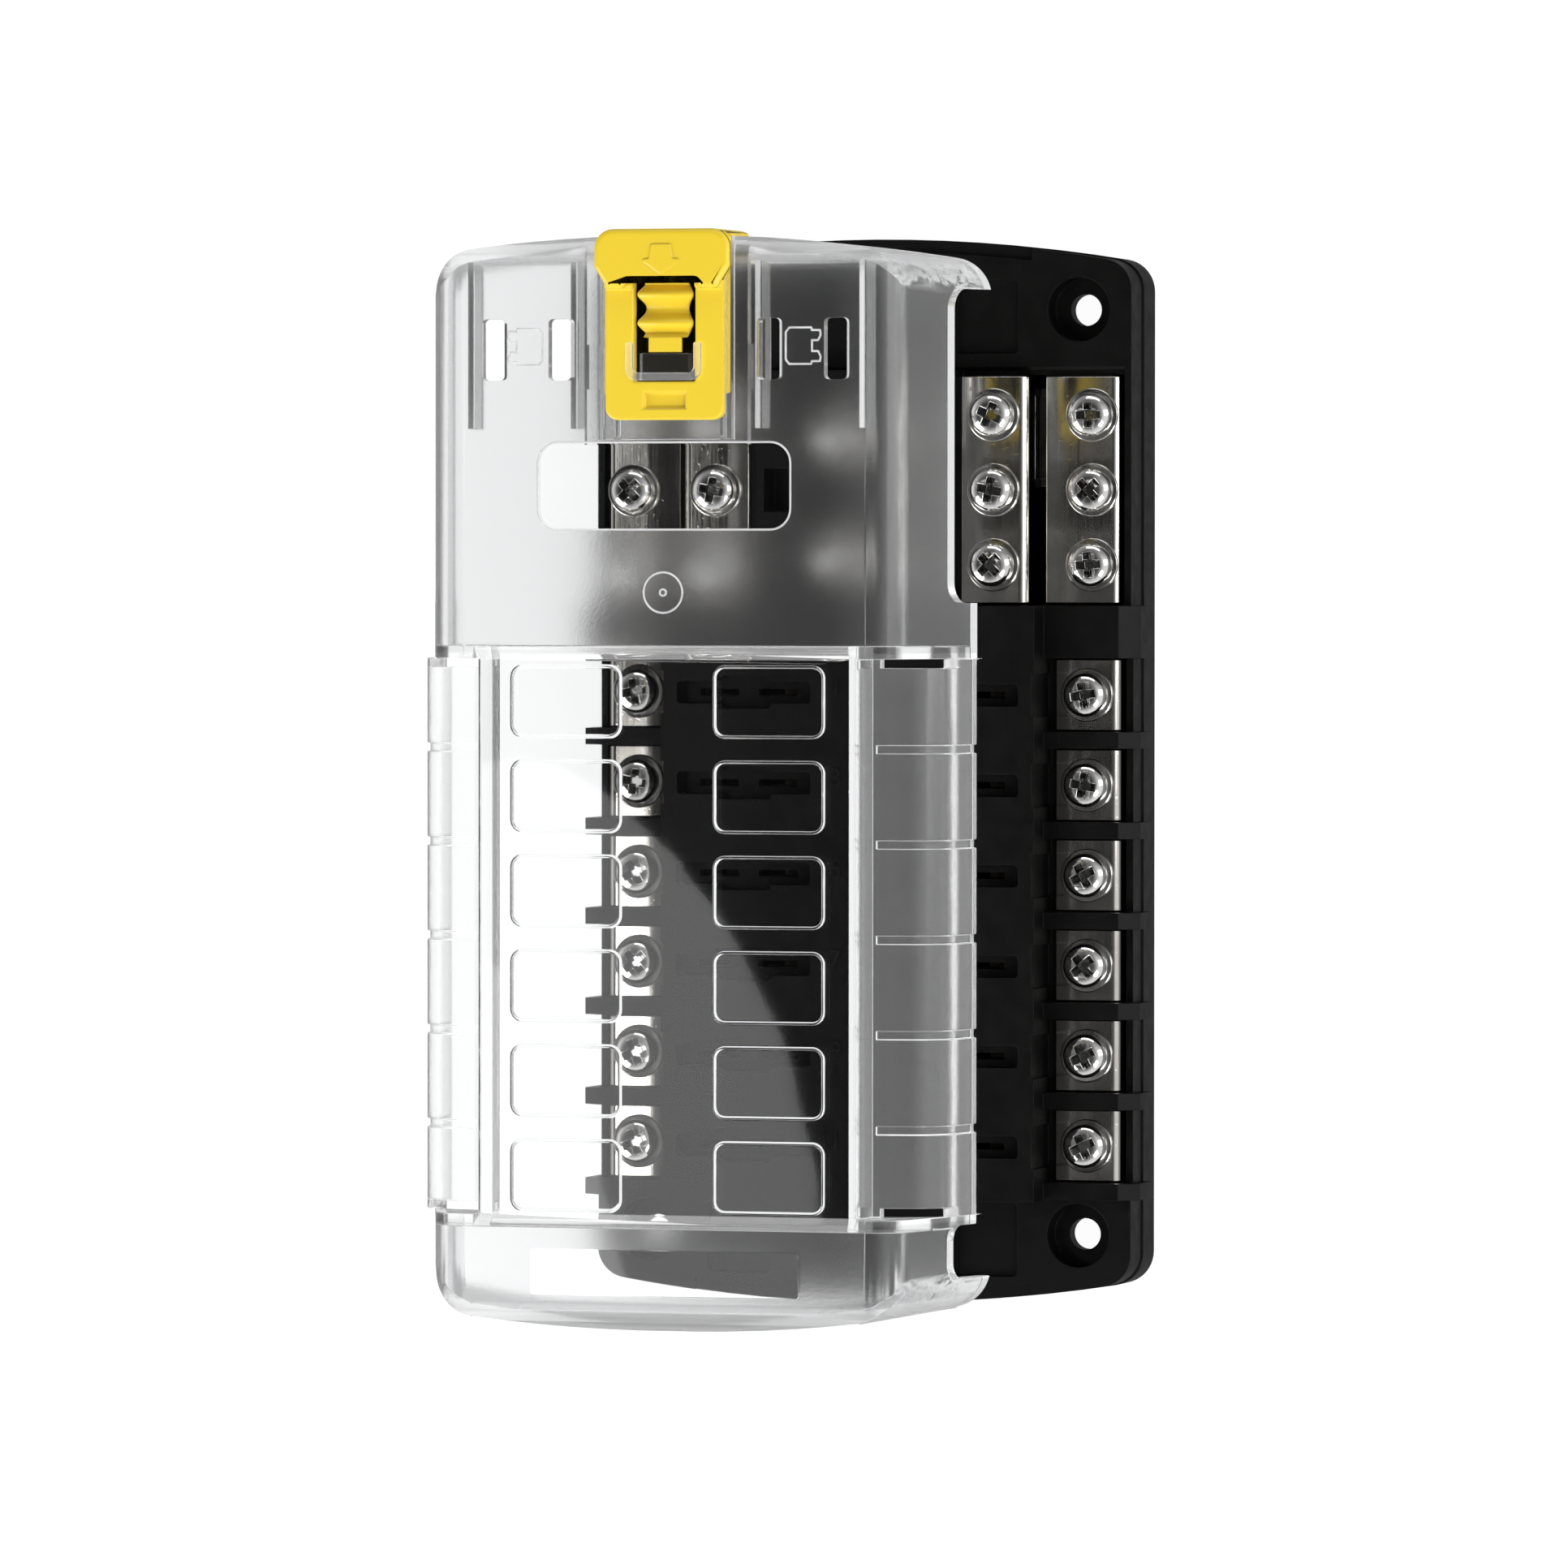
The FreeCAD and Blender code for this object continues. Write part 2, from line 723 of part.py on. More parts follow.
def negative_bus():
    """Outer bars of both sides and the link plate below that joins them, folded from one sheet."""
    y0, y1 = bar_ends()
    link_y0, link_y1 = link_ends()
    bar = folded_channel(outer_bar_inner_x, terminal_outer_x, terminal_height, 0, None,
                         terminal_height - bar_lip)
    channel = folded_channel(outer_bar_inner_x, terminal_outer_x, terminal_height, 0, bus_metal_z, 0)
    pieces = []
    for side in SIDES:
        pieces.append(along_y([(side * x, z) for x, z in bar], y0, y1))
        pieces.append(along_y([(side * x, z) for x, z in channel], link_y0, link_y1))
    plate = join(pieces)
    holes = [cylinder(side * outer_screw_x, y, terminal_height - sheet - 1, terminal_height + 1,
                      screw_shank_radius + fit / 2) for side in SIDES for y in bus_screw_rows()]
    holes.append(cylinder(0, negative_stud_y, 0, deck_height, stud_radius + fit / 2))
    return plate.cut(holes)


def inner_bar(side):
    """Raised inner bar of the negative bus, with a foot that stands on the link plate."""
    y0, y1 = bar_ends()
    link_y0, link_y1 = link_ends()
    section = folded_channel(inner_bar_inner_x, inner_bar_outer_x, inner_bar_height, 0, None,
                             inner_bar_height - bar_lip)
    bar = along_y([(side * x, z) for x, z in section], y0, y1)
    foot = box(side * (inner_bar_outer_x - sheet), side * inner_bar_outer_x, link_y0 + sheet,
               link_y1 - sheet, bus_metal_z + sheet, inner_bar_height - bar_lip)
    holes = [cylinder(side * inner_screw_x, y, 0, deck_height, screw_shank_radius + fit / 2)
             for y in bus_screw_rows()]
    return join([bar, foot]).cut(holes)


def screw(x, y, seat_z, turn):
    """Pan head screw with a cross recess, seated on its washer."""
    under_head = seat_z + washer_thickness
    head = cylinder(x, y, under_head, under_head + screw_head_height, screw_head_radius)
    top = under_head + screw_head_height
    rim = [e for e in head.Edges if min(v.Z for v in e.Vertexes) > top - fit]
    head = head.makeFillet(screw_dome_radius, rim)
    shank = cylinder(x, y, under_head - screw_shank_length, under_head, screw_shank_radius)
    half_long, half_wide = screw_slot_length / 2, screw_slot_width / 2
    arms = []
    for quarter in (0, 90):
        arm = box(-half_long, half_long, -half_wide, half_wide, top - screw_slot_depth, top + 1)
        arm.rotate(vector(0, 0, 0), vector(0, 0, 1), turn + quarter)
        arm.translate(vector(x, y, 0))
        arms.append(arm)
    return join([head, shank]).cut(arms)


def washer(x, y, seat_z):
    """Flat washer with eased edges."""
    ring = cylinder(x, y, seat_z, seat_z + washer_thickness, washer_radius)
    return ring.cut(cylinder(x, y, seat_z - 1, seat_z + 2, screw_shank_radius + fit / 2))


def outlet_screw_seats():
    """Place, seat height and recess angle of each outlet screw."""
    seats = []
    for row in range(pairs_of_fuses):
        for side in SIDES:
            seats.append((side * screw_column_x, row_y(row), terminal_height, 17 + 31 * row + 12 * side))
    return seats


def bus_screw_seats():
    """Place, seat height and recess angle of each negative bus screw."""
    seats = []
    for index, y in enumerate(bus_screw_rows()):
        for side in SIDES:
            seats.append((side * outer_screw_x, y, terminal_height, 25 + 37 * index + 9 * side))
            seats.append((side * inner_screw_x, y, inner_bar_height, 5 + 23 * index - 14 * side))
    return seats


def stud(y, root_z):
    """Main stud with a square-shouldered head under the bar that it clamps."""
    reach = stud_radius + stud_head_overhang
    head = box(-reach, reach, y - reach, y + reach, root_z - stud_head_height, root_z)
    return join([head, cylinder(0, y, root_z, inner_bar_height + stud_length, stud_radius)])


def stud_washer(y):
    """Washer of a main stud, lying on the platform."""
    ring = cylinder(0, y, inner_bar_height, inner_bar_height + stud_washer_thickness, stud_washer_radius)
    return ring.cut(cylinder(0, y, 0, deck_height, stud_radius + fit / 2))


def stud_nut(y):
    """Hexagon nut of a main stud."""
    z0 = inner_bar_height + stud_washer_thickness
    reach = nut_across_flats / math.sqrt(3)
    corners = [(reach * math.cos(math.radians(60 * i)), y + reach * math.sin(math.radians(60 * i)))
               for i in range(6)]
    nut = upright(corners, z0, z0 + nut_height)
    return nut.cut(cylinder(0, y, 0, z0 + nut_height + 1, stud_radius + fit / 2))


def two_sided(points, radii, y0, y1):
    """Prism along Y of a section given by its right half, from the foot up."""
    both = points + [(-x, z) for x, z in reversed(points)]
    return rounded_section(both, radii + radii[::-1], y0, y1)


def wide_flat_half(inset):
    """Half width of the cover's flat top, or with an inset that of the space inside it."""
    slope = cover_slope_run / (cover_top - cover_end_rim)
    return cover_flat_half_width - inset * (math.sqrt(1 + slope ** 2) - slope)


def wide_part(inset, y0, y1):
    """The cover's frosted ends: flat top, rounded edges and sloping sides."""
    half = cover_foot_half_width - inset
    points = [(half, 0), (half, cover_end_rim), (wide_flat_half(inset), cover_top - inset)]
    return two_sided(points, [0, 0, cover_edge_radius - inset], y0, y1)


def corner_plan(inset, z):
    """Plan of the space outside one rounded corner of the cover, where its side is at a height."""
    half = cover_foot_half_width - inset
    rise = cover_top - inset - cover_end_rim
    side_x = half - (half - wide_flat_half(inset)) * (z - cover_end_rim) / rise
    radius = cover_corner_radius - inset
    bow_y = cover_half_length - inset - end_bow_radius
    x = side_x - radius
    y = bow_y + math.sqrt((end_bow_radius - radius) ** 2 - x ** 2)
    outward = vector(x, y - bow_y, 0).normalize()
    centre = vector(x, y, z)
    on_side = centre + vector(radius, 0, 0)
    on_end = centre + outward * radius
    on_corner = centre + (vector(1, 0, 0) + outward).normalize() * radius
    beside = on_side + vector(cover_corner_radius, 0, 0)
    beyond = on_end + outward * cover_corner_radius
    far = vector(beside.x, beyond.y, z)
    arc = Part.Arc(on_side, on_corner, on_end).toShape()
    outside = [on_end, beyond, far, beside, on_side]
    return Part.Wire([arc] + [Part.makeLine(a, b) for a, b in zip(outside, outside[1:])])


def corner_cuts(inset):
    """What is taken off the four sloping corners of the cover to round them at every height."""
    levels = [corner_plan(inset, z) for z in (cover_end_rim - 1, cover_top + 1)]
    corner = Part.makeLoft(levels, True, True)
    pair = [corner, corner.mirror(vector(0, 0, 0), vector(1, 0, 0))]
    return pair + [cut.mirror(vector(0, 0, 0), vector(0, 1, 0)) for cut in pair]


def label_part(inset, y0, y1):
    """The cover's label part: raised panel with steep sides above two rounded shoulders."""
    half = cover_half_width - inset
    panel = panel_half_width - inset
    shoulder = shoulder_top - inset
    points = [
        (half, 0),
        (half, cover_side_rim),
        (shoulder_outer_x - inset, shoulder - shoulder_drop),
        (panel + panel_side_lean, shoulder),
        (panel, panel_top - inset),
    ]
    radii = [0, 0, shoulder_radius - inset, 0, max(panel_edge_radius - inset, 0)]
    return two_sided(points, radii, y0, y1)


def end_rounding(inset):
    """Block whose two ends are rounded over along the top."""
    half = cover_half_length - inset
    top = cover_top - inset
    points = [(half, 0), (half, top)]
    lying = two_sided(points, [0, cover_end_radius - inset / 2], -base_width, base_width)
    return lying.rotate(vector(0, 0, 0), vector(0, 0, 1), 90)


def cover_body(inset):
    """Outer shape of the cover, or with an inset the space inside it."""
    outline = bowed_block(cover_foot_half_width - inset, cover_half_length - inset,
                          cover_corner_radius - inset, 0, cover_top)
    panel_y0, panel_y1 = panel_bottom_y - inset, panel_top_y + inset
    wide = wide_part(inset, -cover_half_length, cover_half_length)
    label = label_part(inset, panel_y0, panel_y1)
    zone = box(-base_width, base_width, panel_y0, panel_y1, -1, cover_top + 1)
    whole = join([wide.cut(zone), label])
    whole = whole.common(outline).common(end_rounding(inset))
    return whole.cut(corner_cuts(inset)).removeSplitter()


def panel_steps():
    """Sloping ends of the label panel, cut into the higher ends of the cover."""
    half = panel_half_width
    cuts = []
    for y, away in ((panel_top_y, 1), (panel_bottom_y, -1)):
        section = [(y, panel_top), (y + away * panel_step_slope, cover_top + 0.01), (y, cover_top + 0.01)]
        cuts.append(along_x(section, -half, half))
    return cuts


def shoulder_grooves():
    """Narrow grooves across the cover's shoulders, one between each two rows of fuses."""
    cuts = []
    for row in range(pairs_of_fuses - 1):
        y = row_y(row) - row_pitch / 2
        outer = label_part(-groove_width, y - groove_width / 2, y + groove_width / 2)
        inner = label_part(groove_depth, y - groove_width, y + groove_width)
        middle = box(-panel_half_width - 1, panel_half_width + 1, y - 2, y + 2, 0, cover_top + 2)
        cuts.append(outer.cut([inner, middle]))
    return cuts


def shoulder_slots():
    """Slots through both ends of each shoulder, beside the panel's ends."""
    cuts = []
    for side in SIDES:
        for y, toward in ((panel_top_y, -1), (panel_bottom_y, 1)):
            cuts.append(box(side * shoulder_slot_start_x, side * shoulder_slot_end_x, y,
                            y + toward * shoulder_slot_width, cover_side_rim, cover_top))
    return cuts


def side_openings():
    """Wire openings of both sides and the raised rim along the terminals."""
    cuts = []
    for side in SIDES:
        for y0, y1, radius in ((wire_notch_start_y, wire_notch_end_y, wire_notch_radius),
                               (foot_notch_start_y, foot_notch_end_y, foot_notch_radius)):
            opening = box(side * panel_half_width, side * base_width, y0, y1,
                          -wire_notch_top, wire_notch_top)
            cuts.append(opening.makeFillet(radius, turned_edges(opening, vector(1, 0, 0))))
        cuts.append(box(side * panel_half_width, side * base_width, foot_notch_end_y - 1,
                        wire_notch_start_y + 1, 0, cover_side_rim))
    cuts.append(box(-base_width, base_width, -base_length, base_length, -1, cover_end_rim))
    return cuts


def spare_fuse_slots():
    """Four slots for spare fuses, beside the latch."""
    cuts = []
    for side in SIDES:
        for x in (spare_slot_inner_x, spare_slot_outer_x):
            cuts.append(rounded_block(side * x, spare_slot_y, spare_slot_width, spare_slot_length,
                                      cover_top - cover_wall - 1, cover_top + 1, socket_corner_radius))
    return cuts


def spare_fuse_ribs():
    """Ribs under the cover's top that hold spare fuses on both sides of each pair of slots."""
    ribs = []
    top = cover_top - cover_wall / 2
    for side in SIDES:
        for x in (spare_rib_inner_x, spare_rib_outer_x):
            ribs.append(box(side * x, side * (x + spare_rib_thickness),
                            spare_rib_start_y, spare_rib_end_y, top - spare_rib_depth, top))
    return ribs


def latch_opening():
    """Way of the latch through the cover's top and end wall, with its two guide grooves."""
    half = latch_half_width + latch_clearance
    start = latch_bar_end_y - latch_travel - latch_clearance
    end = cover_half_length + 1
    rail_z = cover_top - latch_top_drop - latch_thickness
    groove_top = rail_z + tongue_thickness + latch_clearance
    slot = box(-half, half, start, end, rail_z - latch_clearance, cover_top + 1)
    grooves = box(-half - tongue_width, half + tongue_width, start, end,
                  rail_z - latch_clearance, groove_top)
    end_wall = box(-half, half, cover_half_length - 2 * cover_wall, end, 0, cover_top)
    return [slot, grooves, end_wall]


def latch_guides():
    """Blocks beside the latch that hold its grooves, and the bridge with the spring's stop."""
    half = latch_half_width + latch_clearance
    outer = half + tongue_width + guide_wall
    start = latch_bar_end_y - latch_travel - latch_clearance - guide_front_wall
    rail_z = cover_top - latch_top_drop - latch_thickness
    low = rail_z - latch_clearance - guide_depth
    end = cover_half_length - cover_wall / 2
    plate = box(-outer, outer, start, end, low, cover_top - cover_wall / 2)
    window = box(-half + guide_ledge, half - guide_ledge, start + guide_front_wall, end + 1,
                 low - 1, rail_z)
    bridge_y = stop_face_y() - stop_length / 2
    bridge = box(-outer, outer, bridge_y - bridge_half_length, bridge_y + bridge_half_length,
                 low - bridge_thickness, rail_z - latch_clearance)
    return [plate.cut(window), bridge]


def stop_face_y():
    """Face of the cover's stop on which the latch's spring bears."""
    return latch_bar_start_y + latch_clearance + stop_length


def latch_stop():
    """Post that stands up from the bridge into the latch's frame."""
    rail_z = cover_top - latch_top_drop - latch_thickness
    return box(-stop_half_width, stop_half_width, stop_face_y() - stop_length, stop_face_y(),
               rail_z - latch_clearance - bridge_thickness, cover_top - latch_top_drop)


def label_frames():
    """Raised outlines on the label panel, one for each fuse."""
    frames = []
    for row in range(pairs_of_fuses):
        for side in SIDES:
            x, y = side * frame_centre_x, row_y(row)
            outer = rounded_block(x, y, frame_length, frame_width, panel_top - cover_wall / 2,
                                  panel_top + frame_raise, frame_corner_radius)
            inner = rounded_block(x, y, frame_length - 2 * frame_line, frame_width - 2 * frame_line,
                                  panel_top - cover_wall, panel_top + 1,
                                  frame_corner_radius - frame_line)
            frames.append(outer.cut(inner))
    return frames


def cover():
    """Clear cover with its openings, latch guides, ribs and label frames, lifted off the base."""
    shell = cover_body(0).cut(panel_steps())
    shell = shell.cut(cover_body(cover_wall))
    shell = shell.cut(shoulder_grooves() + shoulder_slots())
    shell = join([shell] + latch_guides() + spare_fuse_ribs())
    outline = bowed_block(cover_foot_half_width, cover_half_length, cover_corner_radius, 0, cover_top)
    shell = shell.common(outline).cut(corner_cuts(0))
    shell = shell.cut(latch_opening() + side_openings() + spare_fuse_slots())
    shell = join([shell, latch_stop()] + label_frames())
    shell.translate(vector(0, 0, cover_lift))
    return shell


def hood_outline(grow):
    """Plan of the latch's hood, with two slanted corners."""
    half = hood_half_width + grow
    start = hood_start_y - grow
    right = [(half, hood_end_y), (half, start + hood_chamfer_y), (half - hood_chamfer_x, start)]
    return right + [(-x, y) for x, y in reversed(right)]


def arrow(z0, z1):
    """Raised arrow on the hood that points the way to push."""
    middle = (hood_start_y + hood_end_y) / 2
    right = [(arrow_wing_x, middle - arrow_wing_y), (arrow_shaft_x, middle - arrow_wing_y),
             (arrow_shaft_x, middle + arrow_tail_y)]
    left = [(-x, y) for x, y in reversed(right)]
    return upright([(0, middle - arrow_point_y)] + right + left, z0, z1)


def latch():
    """Yellow latch: hood, two rails, end bar, side tongues, end apron and leg with its tooth."""
    top = cover_top - latch_top_drop
    low = top - latch_thickness
    hood_low = cover_top + latch_clearance
    hood_top = hood_low + hood_thickness
    hood = upright(hood_outline(0), hood_low, hood_top)
    upper_edges = [e for e in hood.Edges if min(v.Z for v in e.Vertexes) > hood_top - 0.01]
    hood = hood.makeFillet(hood_edge_radius, upper_edges)
    root = box(-latch_half_width, latch_half_width, hood_start_y, hood_end_y,
               low, hood_low + hood_thickness / 2)
    frame = box(-latch_half_width, latch_half_width, latch_bar_end_y, hood_start_y + 1, low, top)
    frame = frame.makeFillet(latch_thickness, [e for e in turned_edges(frame, vector(0, 0, 1))
                                               if e.Vertexes[0].Y < hood_start_y])
    window = box(-latch_rail_inner_x, latch_rail_inner_x, latch_bar_start_y, hood_start_y,
                 low - 1, top + 1)
    tongue_x = latch_half_width + tongue_width - latch_clearance
    tongues = box(-tongue_x, tongue_x, latch_bar_end_y + 2 * latch_thickness, hood_end_y,
                  low, low + tongue_thickness)
    apron = box(-latch_half_width, latch_half_width, hood_end_y - apron_thickness, hood_end_y,
                low - apron_depth, hood_low + hood_thickness / 2)
    tip = latch_slot_outer_y - latch_clearance
    leg_front = tip - leg_tooth
    leg = box(-leg_half_width, leg_half_width, leg_front - apron_thickness, leg_front, leg_end_z, top)
    tooth = along_x([(leg_front, leg_end_z), (tip, leg_end_z + leg_tooth_height / 2),
                     (tip, leg_end_z + leg_tooth_height), (leg_front, leg_end_z + leg_tooth_height)],
                    -leg_half_width, leg_half_width)
    middle = (latch_bar_end_y + latch_bar_start_y) / 2
    pocket = box(-finger_pocket_width / 2, finger_pocket_width / 2, middle - finger_pocket_length / 2,
                 middle + finger_pocket_length / 2, top - finger_pocket_depth, top + 1)
    body = join([frame, tongues]).cut([window, pocket])
    body = join([body, root, hood, apron, leg, tooth, arrow(hood_top - 0.1, hood_top + arrow_raise)])
    body.translate(vector(0, 0, cover_lift))
    return body


def latch_spring():
    """Wavy spring of the latch, from the hood to the block that bears on the cover's stop."""
    top = cover_top - latch_top_drop
    low = top - spring_thickness
    half = spring_width / 2
    block_y = stop_face_y() + spring_seat_gap
    block_end_y = block_y + spring_block_length
    pieces = [box(-spring_block_half_width, spring_block_half_width, block_y, block_end_y, low, top)]
    first_y = hood_start_y - spring_pitch + half
    runs = [first_y - k * spring_pitch for k in range(spring_runs)]
    for k, y in enumerate(runs):
        pieces.append(box(-spring_run_half, spring_run_half, y - half, y + half, low, top))
        if k + 1 < spring_runs:
            side = 1 if k % 2 == 0 else -1
            x = side * spring_run_half
            turn_y = y - spring_pitch / 2
            outer = cylinder(x, turn_y, low, top, spring_pitch / 2 + half)
            ring = outer.cut(cylinder(x, turn_y, low, top, spring_pitch / 2 - half))
            keep = box(x, x + side * spring_pitch, turn_y - spring_pitch, turn_y + spring_pitch, low, top)
            pieces.append(ring.common(keep))
    pieces.append(box(-half, half, runs[0], hood_start_y, low, top))
    pieces.append(box(-half, half, block_end_y - half, runs[-1], low, top))
    spring = join(pieces)
    spring.translate(vector(0, 0, cover_lift))
    return spring


def save(name, shape):
    """Writes one node's STEP file."""
    shape.exportStep(os.path.join(OUT, name + ".step"))
    state = "valid" if shape.isValid() else "INVALID"
    print(name, len(shape.Solids), "solid(s)", round(shape.Volume, 1), "mm3", state)


def main():
    """Builds and writes every piece of the block."""
    os.makedirs("parts", exist_ok=True)
    save("base_housing", base_housing())
    save("rear_plate", rear_plate())
    save("positive_bus", positive_bus())
    save("negative_bus", negative_bus())
    save("inner_bar_right", inner_bar(1))
    save("inner_bar_left", inner_bar(-1))
    save("supply_clips", clip_set(True))
    save("outlet_clips", clip_set(False))
    number = 0
    for row in range(pairs_of_fuses):
        for side in (-1, 1):
            number += 1
            save("outlet_terminal_%02d" % number, outlet_terminal(side, row))
    save("outlet_screws", Part.makeCompound([screw(*seat) for seat in outlet_screw_seats()]))
    save("outlet_washers", Part.makeCompound([washer(*seat[:3]) for seat in outlet_screw_seats()]))
    save("bus_screws", Part.makeCompound([screw(*seat) for seat in bus_screw_seats()]))
    save("bus_washers", Part.makeCompound([washer(*seat[:3]) for seat in bus_screw_seats()]))
    save("positive_stud", stud(positive_stud_y, bus_metal_z))
    save("negative_stud", stud(negative_stud_y, bus_metal_z))
    save("stud_washers", Part.makeCompound([stud_washer(positive_stud_y), stud_washer(negative_stud_y)]))
    save("stud_nuts", Part.makeCompound([stud_nut(positive_stud_y), stud_nut(negative_stud_y)]))
    save("cover", cover())
    save("latch", latch())
    save("latch_spring", latch_spring())


main()
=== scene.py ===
"""Dresses a blade fuse block: black base, plated metal, clear cover lifted off, yellow latch."""

import logging
import math
from collections.abc import Sequence
from dataclasses import dataclass
from enum import Enum
from functools import reduce

import bmesh
import bpy
from mathutils import Matrix, Vector


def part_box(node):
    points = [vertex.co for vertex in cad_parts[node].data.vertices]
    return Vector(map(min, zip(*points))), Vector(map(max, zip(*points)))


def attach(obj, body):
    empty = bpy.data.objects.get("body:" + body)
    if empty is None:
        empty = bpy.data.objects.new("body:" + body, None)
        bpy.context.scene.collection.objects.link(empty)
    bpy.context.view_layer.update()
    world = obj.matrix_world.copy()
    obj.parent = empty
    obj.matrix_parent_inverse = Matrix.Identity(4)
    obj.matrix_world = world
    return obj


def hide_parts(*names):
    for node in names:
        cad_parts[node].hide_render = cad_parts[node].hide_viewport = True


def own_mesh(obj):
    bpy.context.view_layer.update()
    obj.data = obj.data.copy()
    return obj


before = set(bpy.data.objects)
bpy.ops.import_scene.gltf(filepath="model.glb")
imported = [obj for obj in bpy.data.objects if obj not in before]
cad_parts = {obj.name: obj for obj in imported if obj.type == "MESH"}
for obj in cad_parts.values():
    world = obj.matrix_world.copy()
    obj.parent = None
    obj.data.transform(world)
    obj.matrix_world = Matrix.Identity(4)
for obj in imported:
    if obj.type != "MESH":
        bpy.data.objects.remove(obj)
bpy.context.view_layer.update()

LOG = logging.getLogger("fuse_block")
MM = 0.001
HOLLOW = "hollow"

Pair = tuple[float, float]
Triple = tuple[float, float, float]
Window = tuple[float, float, float, float]  # Y, half sizes along X and Y, corner radius.
Piece = bpy.types.Object
Finish = bpy.types.Material
Node = bpy.types.Node
Socket = bpy.types.NodeSocket


class Body(Enum):
    """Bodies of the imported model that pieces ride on."""

    BASE = "base"
    COVER = "cover"
    LATCH = "latch"


class Slot(Enum):
    """Material slots of the record, one named for each piece here."""

    BLACK = "black_plastic"
    SHEET = "plated_sheet"
    STEEL = "bright_steel"
    CLEAR = "clear_plastic"
    YELLOW = "yellow_plastic"


class Tree:
    """Node tree with short ways to place and join nodes."""

    def __init__(self, tree: bpy.types.NodeTree) -> None:
        """Takes the tree to fill."""
        self.tree = tree

    def node(self, kind: str, inputs: dict | None = None, **settings: object) -> Node:
        """Adds a node.

        Args:
            kind: Blender's type name of the node.
            inputs: Values or sockets for its inputs, by name or number.
            settings: Attributes to set on it first.

        Returns:
            The new node.
        """
        made = self.tree.nodes.new(kind)
        for key, value in settings.items():
            setattr(made, key, value)
        for key, value in (inputs or {}).items():
            self.feed(made.inputs[key], value)
        return made

    def feed(self, socket: Socket, value: object) -> None:
        """Links a socket or sets its value.

        Args:
            socket: Input to fill.
            value: An output socket, a number, a vector or a colour.
        """
        if isinstance(value, Socket):
            self.tree.links.new(value, socket)
        else:
            socket.default_value = (*value, 1.0) if socket.type == "RGBA" else value

    def math(self, operation: str, *values: object) -> Socket:
        """Result of one Math node, named as Blender does, from numbers or sockets."""
        return self.node("ShaderNodeMath", dict(enumerate(values)), operation=operation).outputs[0]

    def product(self, *values: object) -> Socket:
        """Product of numbers or sockets."""
        return reduce(lambda first, second: self.math("MULTIPLY", first, second), values)

    def total(self, *values: object) -> Socket:
        """Sum of numbers or sockets."""
        return reduce(lambda first, second: self.math("ADD", first, second), values)

    def opposite(self, value: object) -> Socket:
        """One less the value."""
        return self.math("SUBTRACT", 1.0, value)


